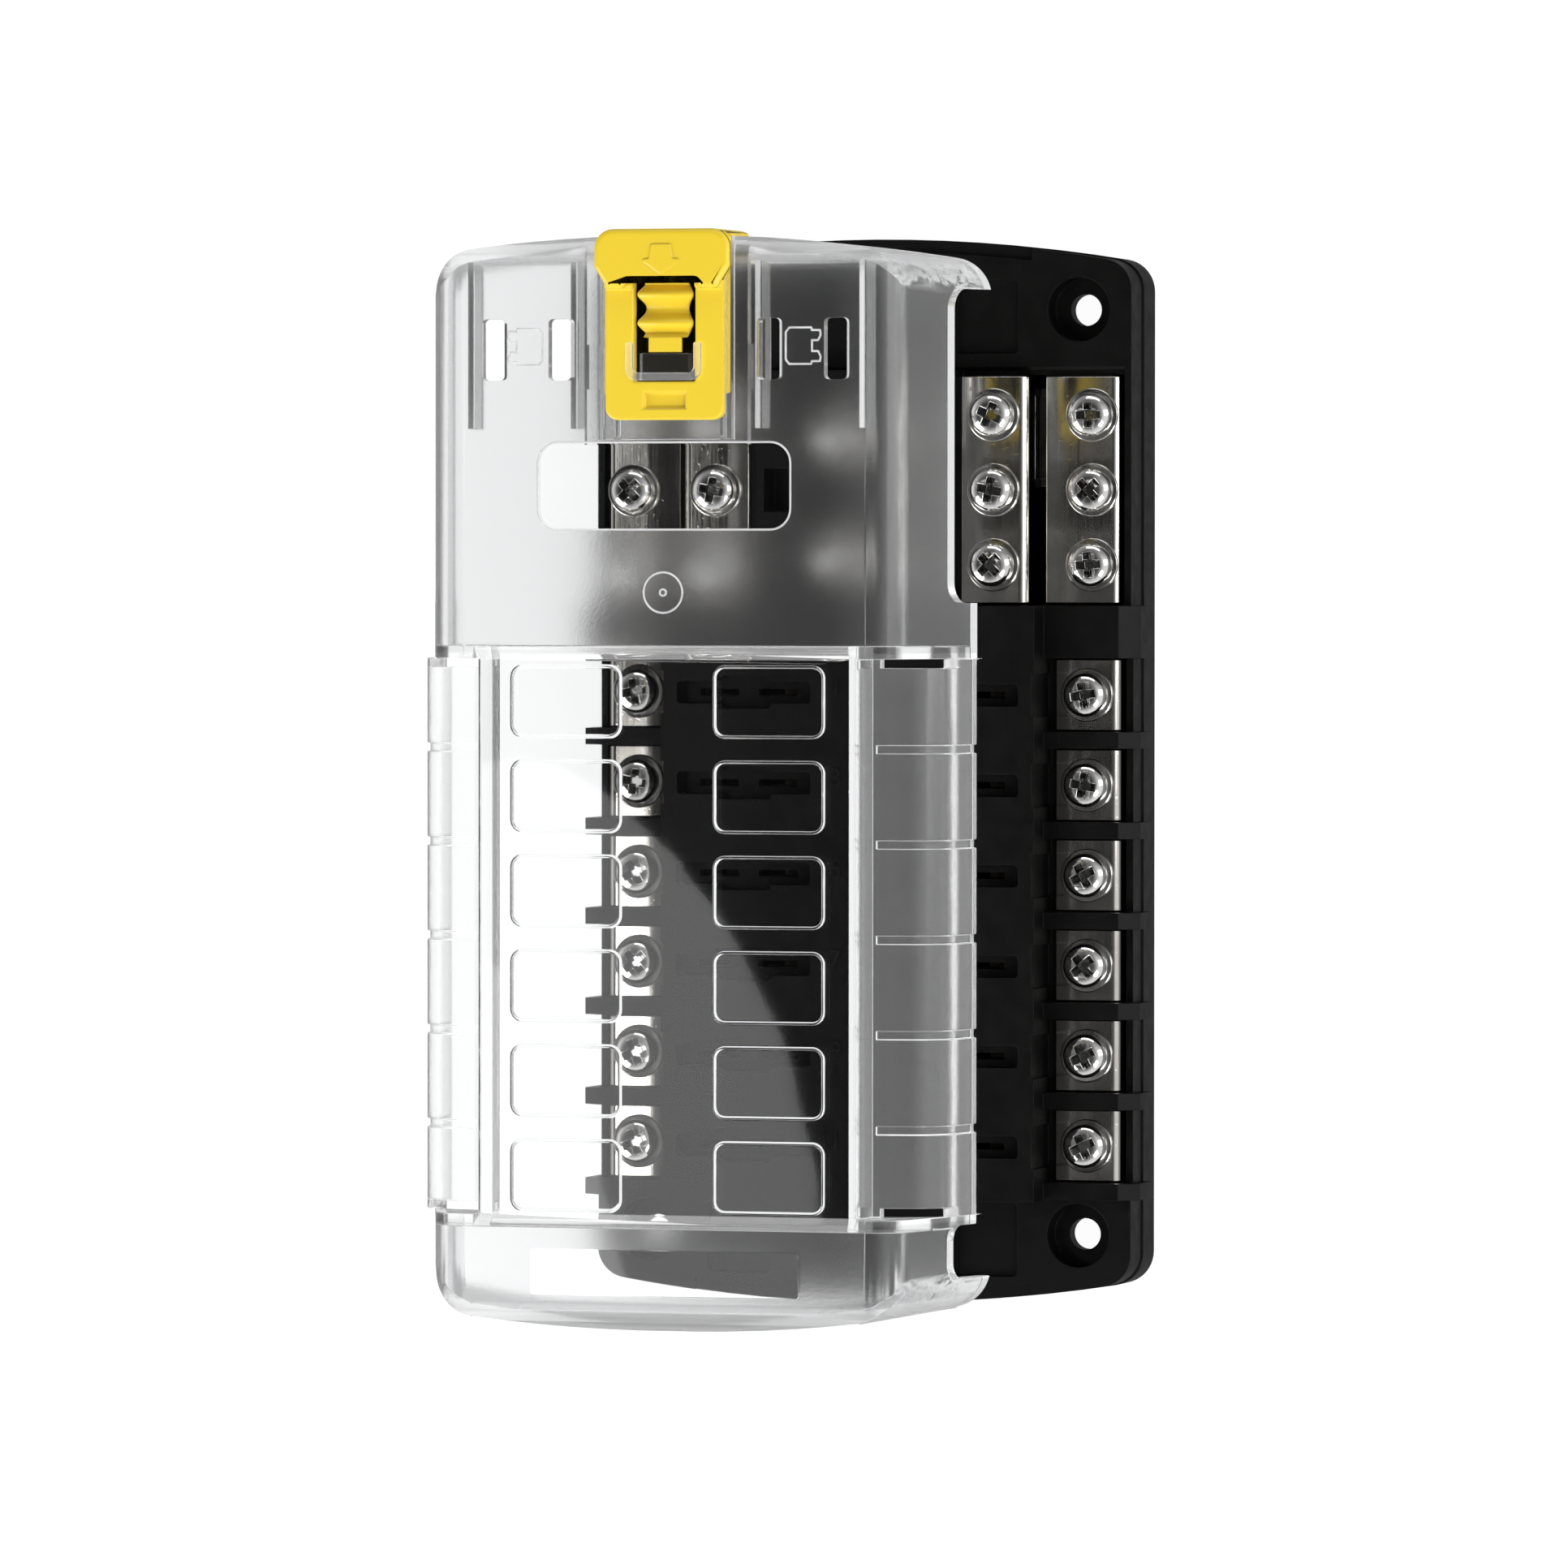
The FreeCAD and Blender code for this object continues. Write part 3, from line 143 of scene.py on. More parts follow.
class Board(Tree):
    """Node tree of one material or of the world."""

    # Colour sockets of a Mix node.
    COLOUR_A, COLOUR_B, COLOUR_OUT = 6, 7, 2

    def __init__(self, name: str, world: bool = False) -> None:
        """Starts an empty tree with its output.

        Args:
            name: Name of the material or world.
            world: Whether it is a world.
        """
        self.owner = (bpy.data.worlds if world else bpy.data.materials).new(name)
        self.owner.use_nodes = True
        super().__init__(self.owner.node_tree)
        self.tree.nodes.clear()
        self.output = self.node("ShaderNodeOutputWorld" if world else "ShaderNodeOutputMaterial")
        self.place = self.node("ShaderNodeTexCoord").outputs["Generated" if world else "Object"]

    def ramp(self, value: object, low: float, high: float, at_low: float = 0.0,
             at_high: float = 1.0) -> Socket:
        """Smooth step from one value to another.

        Args:
            value: Socket to read.
            low: Where the step starts.
            high: Where it ends.
            at_low: Result at and before the start.
            at_high: Result at and after the end.

        Returns:
            The stepped value.
        """
        inputs = {"Value": value, "From Min": low, "From Max": high, "To Min": at_low, "To Max": at_high}
        made = self.node("ShaderNodeMapRange", inputs, interpolation_type="SMOOTHSTEP")
        return made.outputs["Result"]

    def band(self, value: object, low: float, high: float, blur: float) -> Socket:
        """Mask that is 1 from low to high, with soft ends as long as the blur."""
        return self.product(self.ramp(value, low, low + blur), self.ramp(value, high, high + blur, 1.0, 0.0))

    def noise(self, scale: float, detail: float = 2.0, rough: float = 0.5,
              stretch: Triple = (1, 1, 1)) -> Socket:
        """Noise on the board's coordinates.

        Args:
            scale: Cells in one metre.
            detail: Octaves.
            rough: Strength of the finer octaves.
            stretch: Scale of each axis.

        Returns:
            Noise from 0 to 1.
        """
        mapping = self.node("ShaderNodeMapping", {"Vector": self.place, "Scale": stretch})
        inputs = {"Vector": mapping.outputs[0], "Scale": scale, "Detail": detail, "Roughness": rough}
        return self.node("ShaderNodeTexNoise", inputs).outputs["Fac"]

    def blend_colour(self, share: object, first: object, second: object) -> Socket:
        """Mix of two colours, by the share of the second."""
        inputs = {"Factor": share, self.COLOUR_A: first, self.COLOUR_B: second}
        return self.node("ShaderNodeMix", inputs, data_type="RGBA").outputs[self.COLOUR_OUT]

    def bump(self, height: object, depth: float, strength: float = 1.0,
             normal: Socket | None = None) -> Socket:
        """Normal bent by a height.

        Args:
            height: Height from 0 to 1.
            depth: Depth of a full step in metres.
            strength: Share of the effect.
            normal: Normal to start from, if any.

        Returns:
            The bent normal.
        """
        inputs = {"Strength": strength, "Distance": depth, "Height": height}
        if normal is not None:
            inputs["Normal"] = normal
        return self.node("ShaderNodeBump", inputs).outputs["Normal"]

    def round_edges(self, radius: float) -> Socket:
        """Normal that turns over edges with the given radius in metres."""
        return self.node("ShaderNodeBevel", {"Radius": radius}, samples=4).outputs["Normal"]

    def axis(self, name: str) -> Socket:
        """One coordinate of the place, X, Y or Z."""
        return self.node("ShaderNodeSeparateXYZ", {0: self.place}).outputs[name]

    def mix(self, share: object, first: Node, second: Node) -> Node:
        """Mix of two shaders, by the share of the second."""
        return self.node("ShaderNodeMixShader", {0: share, 1: first.outputs[0], 2: second.outputs[0]})

    def surface(self, shader: Node) -> bpy.types.ID:
        """Puts the shader on the output and gives the material or world."""
        self.feed(self.output.inputs["Surface"], shader.outputs[0])
        return self.owner


@dataclass(frozen=True)
class MouldedPlastic:
    """Opaque moulded plastic with a fine grain and slight clouding."""

    name: str
    colour: Triple
    cloud: Triple
    roughness: float
    roughness_spread: float
    grain_depth: float
    specular: float
    edge_radius: float = 0.2 * MM
    grain_scale: float = 5200.0
    cloud_scale: float = 55.0
    patch_scale: float = 330.0
    patch_range: Pair = (0.25, 0.75)

    def material(self) -> Finish:
        """Builds the material.

        Returns:
            The finished material.
        """
        board = Board(self.name)
        half = self.roughness_spread / 2
        cloud = board.noise(self.cloud_scale, detail=4.0)
        patch = board.noise(self.patch_scale, detail=3.0)
        grain = board.noise(self.grain_scale, detail=3.0, rough=0.6)
        return board.surface(board.node("ShaderNodeBsdfPrincipled", {
            "Base Color": board.blend_colour(cloud, self.colour, self.cloud),
            "Roughness": board.ramp(patch, *self.patch_range, self.roughness - half, self.roughness + half),
            "Specular IOR Level": self.specular,
            "Normal": board.bump(grain, self.grain_depth, 1.0, board.round_edges(self.edge_radius))}))


@dataclass(frozen=True)
class PlatedMetal:
    """Plated metal with drawn lines, fine pits, uneven shine and, where points are marked as hollow, painted
    shade.
    """

    name: str
    colour: Triple
    tarnish: Triple
    roughness: float
    roughness_spread: float
    line_depth: float
    line_stretch: Triple = (1, 1, 1)
    line_scale: float = 3000.0
    pit_depth: float = 0.01 * MM
    edge_radius: float = 0.12 * MM
    # Painted shade in recesses: how dark, in what colour, and over which depths of the hollow mark.
    hollow_dark: float = 0.0
    hollow_colour: Triple = (0.02, 0.02, 0.02)
    hollow_range: Pair = (0.02, 0.35)
    line_range: Pair = (0.3, 0.7)
    film_scale: float = 140.0
    film_range: Pair = (0.35, 0.75)
    pit_scale: float = 1400.0
    pit_range: Pair = (0.62, 0.72)

    def material(self) -> Finish:
        """Builds the material.

        Returns:
            The finished material.
        """
        board = Board(self.name)
        film = board.ramp(board.noise(self.film_scale, detail=4.0), *self.film_range)
        colour = board.blend_colour(film, self.colour, self.tarnish)
        # Painted shade: the colour darkens inside screw recesses, by how deep each point lies below the dome.
        if self.hollow_dark > 0:
            hollow = board.node("ShaderNodeAttribute", attribute_name=HOLLOW).outputs["Fac"]
            share = board.ramp(hollow, *self.hollow_range, 0.0, self.hollow_dark)
            colour = board.blend_colour(share, colour, self.hollow_colour)
        lines = board.noise(self.line_scale, stretch=self.line_stretch)
        pits = board.ramp(board.noise(self.pit_scale), *self.pit_range)
        normal = board.bump(lines, self.line_depth, 1.0, board.round_edges(self.edge_radius))
        half = self.roughness_spread / 2
        return board.surface(board.node("ShaderNodeBsdfPrincipled", {
            "Base Color": colour, "Metallic": 1.0,
            "Roughness": board.ramp(lines, *self.line_range, self.roughness - half, self.roughness + half),
            "Normal": board.bump(pits, -self.pit_depth, 1.0, normal)}))


@dataclass(frozen=True)
class ClearPlastic:
    """Clear plastic with frosted ends, polished windows and light veils where it scatters."""

    name: str
    colour: Triple = (0.95, 0.955, 0.958)
    frost_colour: Triple = (0.80, 0.805, 0.81)
    wall_colour: Triple = (0.84, 0.845, 0.85)
    veil_colour: Triple = (0.9, 0.9, 0.9)
    refraction: float = 1.50
    clear_roughness: float = 0.02
    frost_roughness: float = 0.17
    shoulder_roughness: float = 0.14
    end_roughness: float = 0.12
    frost_share: float = 0.004
    outer_frost_share: float = 0.022
    shoulder_share: float = 0.05
    end_share: float = 0.05
    step_share: float = 0.12
    line_veil: float = 0.0
    shadow_share: float = 0.9
    outer_frost_x: Pair = (23.0 * MM, 33.0 * MM)
    end_y: Pair = (73.0 * MM, 76.5 * MM)
    panel_half_width: float = 28.6 * MM
    panel_y: Pair = (-62.9 * MM, 18.8 * MM)
    wall_width: float = 2.2 * MM
    step_length: float = 1.8 * MM
    edge_blur: float = 0.12 * MM
    windows: tuple[Window, Window] = ((42.65 * MM, 18.9 * MM, 6.25 * MM, 3.0 * MM),
                                      (-70.2 * MM, 20.2 * MM, 3.4 * MM, 0.48 * MM))
    wave_scale: float = 45.0
    wave_depth: float = 0.06 * MM
    wave_strength: float = 0.35
    grain_scale: float = 2600.0
    grain_depth: float = 0.012 * MM
    grain_strength: float = 0.6

    def inside(self, board: Board, y: float, half_x: float, half_y: float, radius: float) -> Socket:
        """Mask of a rounded window in the cover's top.

        Args:
            board: Node board of the material.
            y: Middle of the window along Y.
            half_x: Half size along X.
            half_y: Half size along Y.
            radius: Radius of its corners.

        Returns:
            1 inside the window, 0 outside.
        """
        squares = []
        for place, half in ((board.axis("X"), half_x),
                            (board.math("SUBTRACT", board.axis("Y"), y), half_y)):
            past = board.math("SUBTRACT", board.math("ABSOLUTE", place), half - radius)
            past = board.math("MAXIMUM", past, 0.0)
            squares.append(board.product(past, past))
        reach = board.math("SQRT", board.total(*squares))
        return board.ramp(reach, radius - self.edge_blur, radius, 1.0, 0.0)

    def zones(self, board: Board) -> dict[str, Socket]:
        """Masks of the cover's zones, 1 inside each.

        Args:
            board: Node board of the material.

        Returns:
            frost: the ends without their windows; side and beside: beyond the label panel's width, in
            all and along the panel; end: the end faces; wall: along the panel's sides; step: the slopes
            at the panel's ends; outer: the haze of the frost, from the middle to the sides.
        """
        blur, half, wall = self.edge_blur, self.panel_half_width, self.wall_width
        bottom, top = self.panel_y
        across, y = board.math("ABSOLUTE", board.axis("X")), board.axis("Y")
        beyond = board.math("MAXIMUM", board.ramp(y, top - blur, top),
                            board.ramp(y, bottom, bottom + blur, 1.0, 0.0))
        along = board.opposite(beyond)
        window = board.math("MAXIMUM", *(self.inside(board, *sizes) for sizes in self.windows))
        side = board.ramp(across, half, half + blur)
        reach = board.math("ABSOLUTE", board.math("SUBTRACT", y, (top + bottom) / 2))
        length, slope = (top - bottom) / 2, self.step_length / 2
        step = board.band(reach, length - slope - blur, length + slope, blur)
        return {"frost": board.product(beyond, board.opposite(window)),
                "side": side,
                "beside": board.product(along, side),
                "end": board.ramp(board.math("ABSOLUTE", y), *self.end_y),
                "wall": board.product(board.band(across, half - wall, half + wall, blur), along),
                "step": board.product(step, board.opposite(side)),
                "outer": board.ramp(across, *self.outer_frost_x, self.frost_share, self.outer_frost_share)}

    def material(self) -> Finish:
        """Builds the material.

        Returns:
            The finished material.
        """
        board = Board(self.name)
        zone = self.zones(board)
        frost, end = zone["frost"], zone["end"]
        tint = board.blend_colour(frost, self.colour, self.frost_colour)
        plain = board.ramp(zone["side"], 0.0, 1.0, self.clear_roughness, self.shoulder_roughness)
        wave = board.bump(board.noise(self.wave_scale, detail=1.0), self.wave_depth, self.wave_strength)
        grain = board.product(frost, board.noise(self.grain_scale, detail=3.0, rough=0.6))
        glass = board.node("ShaderNodeBsdfPrincipled", {
            "Transmission Weight": 1.0, "IOR": self.refraction,
            "Base Color": board.blend_colour(zone["wall"], tint, self.wall_colour),
            "Roughness": board.total(board.product(plain, board.opposite(frost)),
                                     board.product(frost, self.frost_roughness),
                                     board.product(end, self.end_roughness)),
            "Normal": board.bump(grain, self.grain_depth, self.grain_strength, wave)})
        share = board.total(zone["outer"], board.product(end, self.end_share))
        haze = board.total(board.product(frost, share), board.product(zone["beside"], self.shoulder_share),
                           board.product(zone["step"], self.step_share))
        veil = board.node("ShaderNodeBsdfDiffuse", {"Color": self.veil_colour})
        hazy = board.mix(board.math("MAXIMUM", haze, self.line_veil), glass, veil)
        shadow = board.node("ShaderNodeLightPath").outputs["Is Shadow Ray"]
        through = board.node("ShaderNodeBsdfTransparent")
        return board.surface(board.mix(board.product(shadow, self.shadow_share), hazy, through))


def new_piece(name: str, data: bpy.types.ID) -> Piece:
    """Puts a mesh or other data in the scene as an object at the origin.

    Args:
        name: Name of the object.
        data: Its mesh, text, lamp or camera.

    Returns:
        The new object.
    """
    piece = bpy.data.objects.new(name, data)
    bpy.context.scene.collection.objects.link(piece)
    return piece


def evaluated_mesh(piece: Piece) -> bpy.types.Mesh:
    """Plain mesh of a piece, as its modifiers or its text make it.

    Args:
        piece: The piece to read.

    Returns:
        A new mesh.
    """
    bpy.context.view_layer.update()
    graph = bpy.context.evaluated_depsgraph_get()
    return bpy.data.meshes.new_from_object(piece.evaluated_get(graph), depsgraph=graph)


def apply_modifiers(piece: Piece) -> None:
    """Turns a piece with modifiers into a plain mesh.

    Args:
        piece: The piece to change.
    """
    made = evaluated_mesh(piece)
    made.name = piece.name
    old = piece.data
    piece.modifiers.clear()
    piece.data = made
    bpy.data.meshes.remove(old)


def soften(piece: Piece, width: float, angle: float = 32.0, segments: int = 2,
           below_y: float | None = None) -> None:
    """Rounds the sharp edges of a piece and shades it smoothly.

    Args:
        piece: The piece to change.
        width: Width of the rounding in metres, or 0 for none.
        angle: Smallest turn of an edge that is rounded, in degrees.
        segments: Steps of the rounding.
        below_y: Only edges wholly below this y are rounded, if given.
    """
    piece.data.shade_smooth()
    if width > 0:
        bevel = piece.modifiers.new("rounding", "BEVEL")
        bevel.width = width
        bevel.segments = segments
        bevel.limit_method = "ANGLE"
        bevel.angle_limit = math.radians(angle)
        bevel.use_clamp_overlap = False
        if below_y is not None:
            bevel.limit_method = "WEIGHT"
            weigh_edges(piece.data, math.radians(angle), below_y)
        apply_modifiers(piece)
    even_normals(piece.data)


def weigh_edges(mesh: bpy.types.Mesh, angle: float, below_y: float) -> None:
    """Gives a bevel weight to the sharp edges that lie wholly below a given y.

    Args:
        mesh: The mesh whose edges are weighed.
        angle: Smallest turn of such an edge, in radians.
        below_y: Highest y of such an edge, in metres.
    """
    shape = bmesh.new()
    shape.from_mesh(mesh)
    weight = shape.edges.layers.float.new("bevel_weight_edge")
    for edge in shape.edges:
        low = all(vertex.co.y < below_y for vertex in edge.verts)
        if low and edge.calc_face_angle(0.0) > angle:
            edge[weight] = 1.0
    shape.to_mesh(mesh)
    shape.free()


def even_normals(mesh: bpy.types.Mesh, sharp: float = 50.0, strip: float = 0.8 * MM,
                 flat: float = 3.5 * MM, pull: float = 1e4, tiny: float = 1e-12) -> None:
    """Sets the corner normals so that flat faces stay flat and roundings run smoothly into them.

    Args:
        mesh: The mesh to shade.
        sharp: Turn in degrees from which an edge stays sharp.
        strip: Faces narrower than this count less, by the cube of their width.
        flat: Faces wider than this are flat and set the normals at their corners.
        pull: How much more a flat face counts.
        tiny: Least weight of a face, so that none is without a direction.
    """
    faces = mesh.polygons
    around = [[] for _ in mesh.vertices]
    weights = []
    for face in faces:
        places = [mesh.vertices[vertex].co for vertex in face.vertices]
        rim = sum((places[k] - places[k - 1]).length for k in range(len(places)))
        width = 2 * face.area / max(rim, tiny)
        weights.append((min(width, strip) / strip) ** 3 * (pull if width > flat else 1.0))
        for vertex in face.vertices:
            around[vertex].append(face.index)
    limit = math.cos(math.radians(sharp))
    directions = [face.normal.copy() for face in faces]
    normals = [None] * len(mesh.loops)
    for face in faces:
        own = directions[face.index]
        for corner in face.loop_indices:
            total = own * (weights[face.index] + tiny)
            for other in around[mesh.loops[corner].vertex_index]:
                if other != face.index and own.dot(directions[other]) > limit:
                    total = total + directions[other] * weights[other]
            normals[corner] = total.normalized() if total.length > 0 else own
    mesh.normals_split_custom_set(normals)


def shade(piece: Piece, sharp: float) -> None:
    """Shades a piece smoothly, apart from edges that turn by more than some degrees."""
    piece.data.shade_smooth()
    piece.data.set_sharp_from_angle(angle=math.radians(sharp))


def settle(name: str, shape: bmesh.types.BMesh, turn_out: bool = True) -> Piece:
    """Makes a piece of a shape in work.

    Args:
        name: Name of the piece.
        shape: The shape, which is used up.
        turn_out: Whether its faces are turned outwards first.

    Returns:
        The new piece.
    """
    if turn_out:
        bmesh.ops.recalc_face_normals(shape, faces=shape.faces)
    mesh = bpy.data.meshes.new(name)
    shape.to_mesh(mesh)
    shape.free()
    return new_piece(name, mesh)


def shell(name: str, rings: list[list[Triple]], around: bool = False) -> Piece:
    """Closed shape through rings of points.

    Args:
        name: Name of the shape.
        rings: Rings with as many points each; a ring of one point is a pole.
        around: Whether the last ring joins the first one and no ends are closed.

    Returns:
        The closed shape.
    """
    shape = bmesh.new()
    made = [[shape.verts.new(point) for point in ring] for ring in rings]
    for lower, upper in zip(made, made[1:] + (made[:1] if around else [])):
        count = max(len(lower), len(upper))
        for k in range(count):
            after = (k + 1) % count
            corners = [lower[k % len(lower)], lower[after % len(lower)],
                       upper[after % len(upper)], upper[k % len(upper)]]
            shape.faces.new(list(dict.fromkeys(corners)))
    for end in (made[0][::-1], made[-1]):
        if len(end) > 1 and not around:
            shape.faces.new(end)
    return settle(name, shape)


def cad_copy(name: str, node: str, flat_angle: float = 0.4, merge: float = 0.0005 * MM) -> Piece:
    """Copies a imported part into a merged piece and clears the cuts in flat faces.

    Args:
        name: Name of the new piece.
        node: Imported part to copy.
        flat_angle: Turn in degrees under which two faces count as one.
        merge: Distance under which two points count as one.

    Returns:
        The new piece.
    """
    shape = bmesh.new()
    shape.from_mesh(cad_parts[node].data)
    bmesh.ops.remove_doubles(shape, verts=shape.verts, dist=merge)
    bmesh.ops.dissolve_degenerate(shape, dist=merge, edges=shape.edges)
    bmesh.ops.dissolve_limit(shape, angle_limit=math.radians(flat_angle), verts=shape.verts,
                             edges=shape.edges)
    return settle(name, shape, turn_out=False)


def carve(piece: Piece, cutter: Piece) -> None:
    """Cuts one closed shape out of a piece and removes the cutter.

    Args:
        piece: The piece to cut.
        cutter: Closed shape to take away.
    """
    cut = piece.modifiers.new("cut", "BOOLEAN")
    cut.operation = "DIFFERENCE"
    cut.solver = "EXACT"
    cut.use_self = True
    cut.object = cutter
    apply_modifiers(piece)
    remove(cutter)


def remove(piece: Piece) -> None:
    """Removes a helper object and its mesh."""
    mesh = piece.data
    bpy.data.objects.remove(piece)
    bpy.data.meshes.remove(mesh)


def join_meshes(name: str, *pieces: Piece) -> Piece:
    """Joins several pieces into one plain piece.

    Args:
        name: Name of the joined piece.
        pieces: Pieces to join; they are removed.

    Returns:
        The joined piece.
    """
    shape = bmesh.new()
    for piece in pieces:
        shape.from_mesh(piece.data)
    joined = settle(name, shape, turn_out=False)
    for material in pieces[0].data.materials:
        joined.data.materials.append(material)
    for piece in pieces:
        remove(piece)
    return joined


def lathe(name: str, profile: list[Pair], steps: int = 48) -> Piece:
    """Turned shape round the Z axis.

    Args:
        name: Name of the shape.
        profile: Radius and height of each ring, from pole to pole or back to its start.
        steps: Faces round the axis.

    Returns:
        A closed turned shape.
    """
    around = profile[0] == profile[-1]
    turns = [2 * math.pi * k / steps for k in range(steps)]
    rings = [[(radius * math.cos(t), radius * math.sin(t), z) for t in (turns if radius else turns[:1])]
             for radius, z in (profile[:-1] if around else profile)]
    return shell(name, rings, around)


def rounded_path(corners: list[Triple], steps: int = 8) -> list[Vector]:
    """Closed path with rounded corners.

    Args:
        corners: X, Y and radius of each corner, counter-clockwise.
        steps: Steps round each corner.

    Returns:
        Points of the path.
    """
    points = []
    for k, (x, y, radius) in enumerate(corners):
        here = Vector((x, y))
        before = (Vector(corners[k - 1][:2]) - here).normalized()
        after = (Vector(corners[(k + 1) % len(corners)][:2]) - here).normalized()
        half_angle = before.angle(after) / 2
        middle = here + (before + after).normalized() * radius / math.sin(half_angle)
        first = (here + before * radius / math.tan(half_angle) - middle).normalized()
        last = (here + after * radius / math.tan(half_angle) - middle).normalized()
        points += [middle + first.slerp(last, step / steps) * radius for step in range(steps + 1)]
    return points


def both_sides(right: Sequence[tuple]) -> list[tuple]:
    """Corners of the right side and then their mirror images, in one turn."""
    return [*right, *((-x, *rest) for x, *rest in right[::-1])]


def prism(name: str, outline: list[Pair], low: float, high: float) -> Piece:
    """Upright shape with the given outline, between two heights."""
    return shell(name, [[(x, y, z) for x, y in outline] for z in (low, high)])


def extrude_along_y(name: str, section: list[Pair], y0: float, y1: float) -> Piece:
    """Straight strip along Y with the given section in X and Z."""
    return shell(name, [[(x, y, z) for x, z in section] for y in (y0, y1)])


def block(name: str, low: Triple, high: Triple) -> Piece:
    """Block between two corners, for joining or cutting."""
    section = [(low[0], low[2]), (high[0], low[2]), (high[0], high[2]), (low[0], high[2])]
    return extrude_along_y(name, section, low[1], high[1])


def dress(node: str, material: Finish) -> None:
    """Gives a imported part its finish.

    Args:
        node: Name of the part.
        material: Finish to show.
    """
    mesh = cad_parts[node].data
    mesh.materials.clear()
    mesh.materials.append(material)


def finish_piece(piece: Piece, body: Body, slot: Slot, material: Finish, *nodes: str) -> None:
    """Gives a piece its finish and its body, and hides the parts it stands for.

    Args:
        piece: The finished piece.
        body: Body that it rides on.
        slot: Material slot of the record; not used.
        material: Its material.
        nodes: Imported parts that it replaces.
    """
    piece.data.materials.clear()
    piece.data.materials.append(material)
    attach(piece, body.value)
    if nodes:
        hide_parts(*nodes)
    LOG.info("%s: %d faces", piece.name, len(piece.data.polygons))


class Repeater(Tree):
    """Geometry Nodes group that sets a master shape in rows on both sides of the block."""

    INPUTS = {"Master": "Object", "Column X": "Float", "First Y": "Float", "Pitch": "Float",
              "Count": "Int", "Seat Z": "Float", "Turn Spread": "Float", "Seed": "Int",
              "Finish": "Material"}
    # Float sockets of a Random Value node.
    NUMBER_MIN, NUMBER_MAX, NUMBER_OUT = 2, 3, 1

    def __init__(self) -> None:
        """Builds the node group."""
        super().__init__(bpy.data.node_groups.new("rows_on_both_sides", "GeometryNodeTree"))
        sockets = [("Geometry", "Geometry", "INPUT"), ("Geometry", "Geometry", "OUTPUT")]
        sockets[1:1] = [(name, kind, "INPUT") for name, kind in self.INPUTS.items()]
        for name, kind, way in sockets:
            self.tree.interface.new_socket(name=name, in_out=way, socket_type=f"NodeSocket{kind}")
        self.given = self.node("NodeGroupInput").outputs
        joined = self.node("GeometryNodeJoinGeometry")
        for sign, turn in ((1.0, 0.0), (-1.0, math.pi)):
            self.feed(joined.inputs[0], self.side(sign, turn))
        real = self.node("GeometryNodeRealizeInstances", {0: joined.outputs[0]})
        finish = self.node("GeometryNodeSetMaterial", {"Geometry": real.outputs[0],
                                                       "Material": self.given["Finish"]})
        self.node("NodeGroupOutput", {0: finish.outputs[0]})

    def vector(self, *values: object) -> Socket:
        """Vector of three numbers or sockets."""
        return self.node("ShaderNodeCombineXYZ", dict(enumerate(values))).outputs[0]

    def side(self, sign: float, turn: float) -> Socket:
        """Row of instances on one side.

        Args:
            sign: 1 for the right side, -1 for the left.
            turn: Turn of the master on that side, in radians.

        Returns:
            The instances.
        """
        given, spread = self.given, self.given["Turn Spread"]
        line = self.node("GeometryNodeMeshLine", {
            "Count": given["Count"],
            "Start Location": self.vector(self.product(given["Column X"], sign), given["First Y"],
                                          given["Seat Z"]),
            "Offset": self.vector(0.0, self.product(given["Pitch"], -1.0), 0.0)}, mode="OFFSET")
        draw = self.node("FunctionNodeRandomValue", {
            self.NUMBER_MIN: self.math("SUBTRACT", turn, spread),
            self.NUMBER_MAX: self.math("ADD", turn, spread), "Seed": given["Seed"]}, data_type="FLOAT")
        master = self.node("GeometryNodeObjectInfo", {"Object": given["Master"]})
        return self.node("GeometryNodeInstanceOnPoints", {
            "Points": line.outputs[0], "Instance": master.outputs["Geometry"],
            "Rotation": self.vector(0.0, 0.0, draw.outputs[self.NUMBER_OUT])}).outputs[0]

    def build(self, name: str, master: Piece, column_x: float, first_y: float, pitch: float,
              count: int, seat_z: float, finish: Finish, turn_spread: float = 0.0,
              seed: int = 3) -> Piece:
        """Makes one piece of all copies of the master.

        Args:
            name: Name of the new piece.
            master: Shape to repeat, standing at the origin.
            column_x: Distance of both columns from the middle.
            first_y: Place of the first row.
            pitch: Distance from row to row, towards the foot end.
            count: Rows.
            seat_z: Height that the master stands on.
            finish: Material of the copies.
            turn_spread: Largest turn of a copy, in radians.
            seed: Seed of the turns.

        Returns:
            The plain piece.
        """
        piece = new_piece(name, bpy.data.meshes.new(name))
        rows = piece.modifiers.new("rows", "NODES")
        rows.node_group = self.tree
        values = (master, column_x, first_y, pitch, count, seat_z, turn_spread, seed, finish)
        named = dict(zip(self.INPUTS, values))
        for item in self.tree.interface.items_tree:
            if item.name in named:
                rows[item.identifier] = named[item.name]
        apply_modifiers(piece)
        return piece


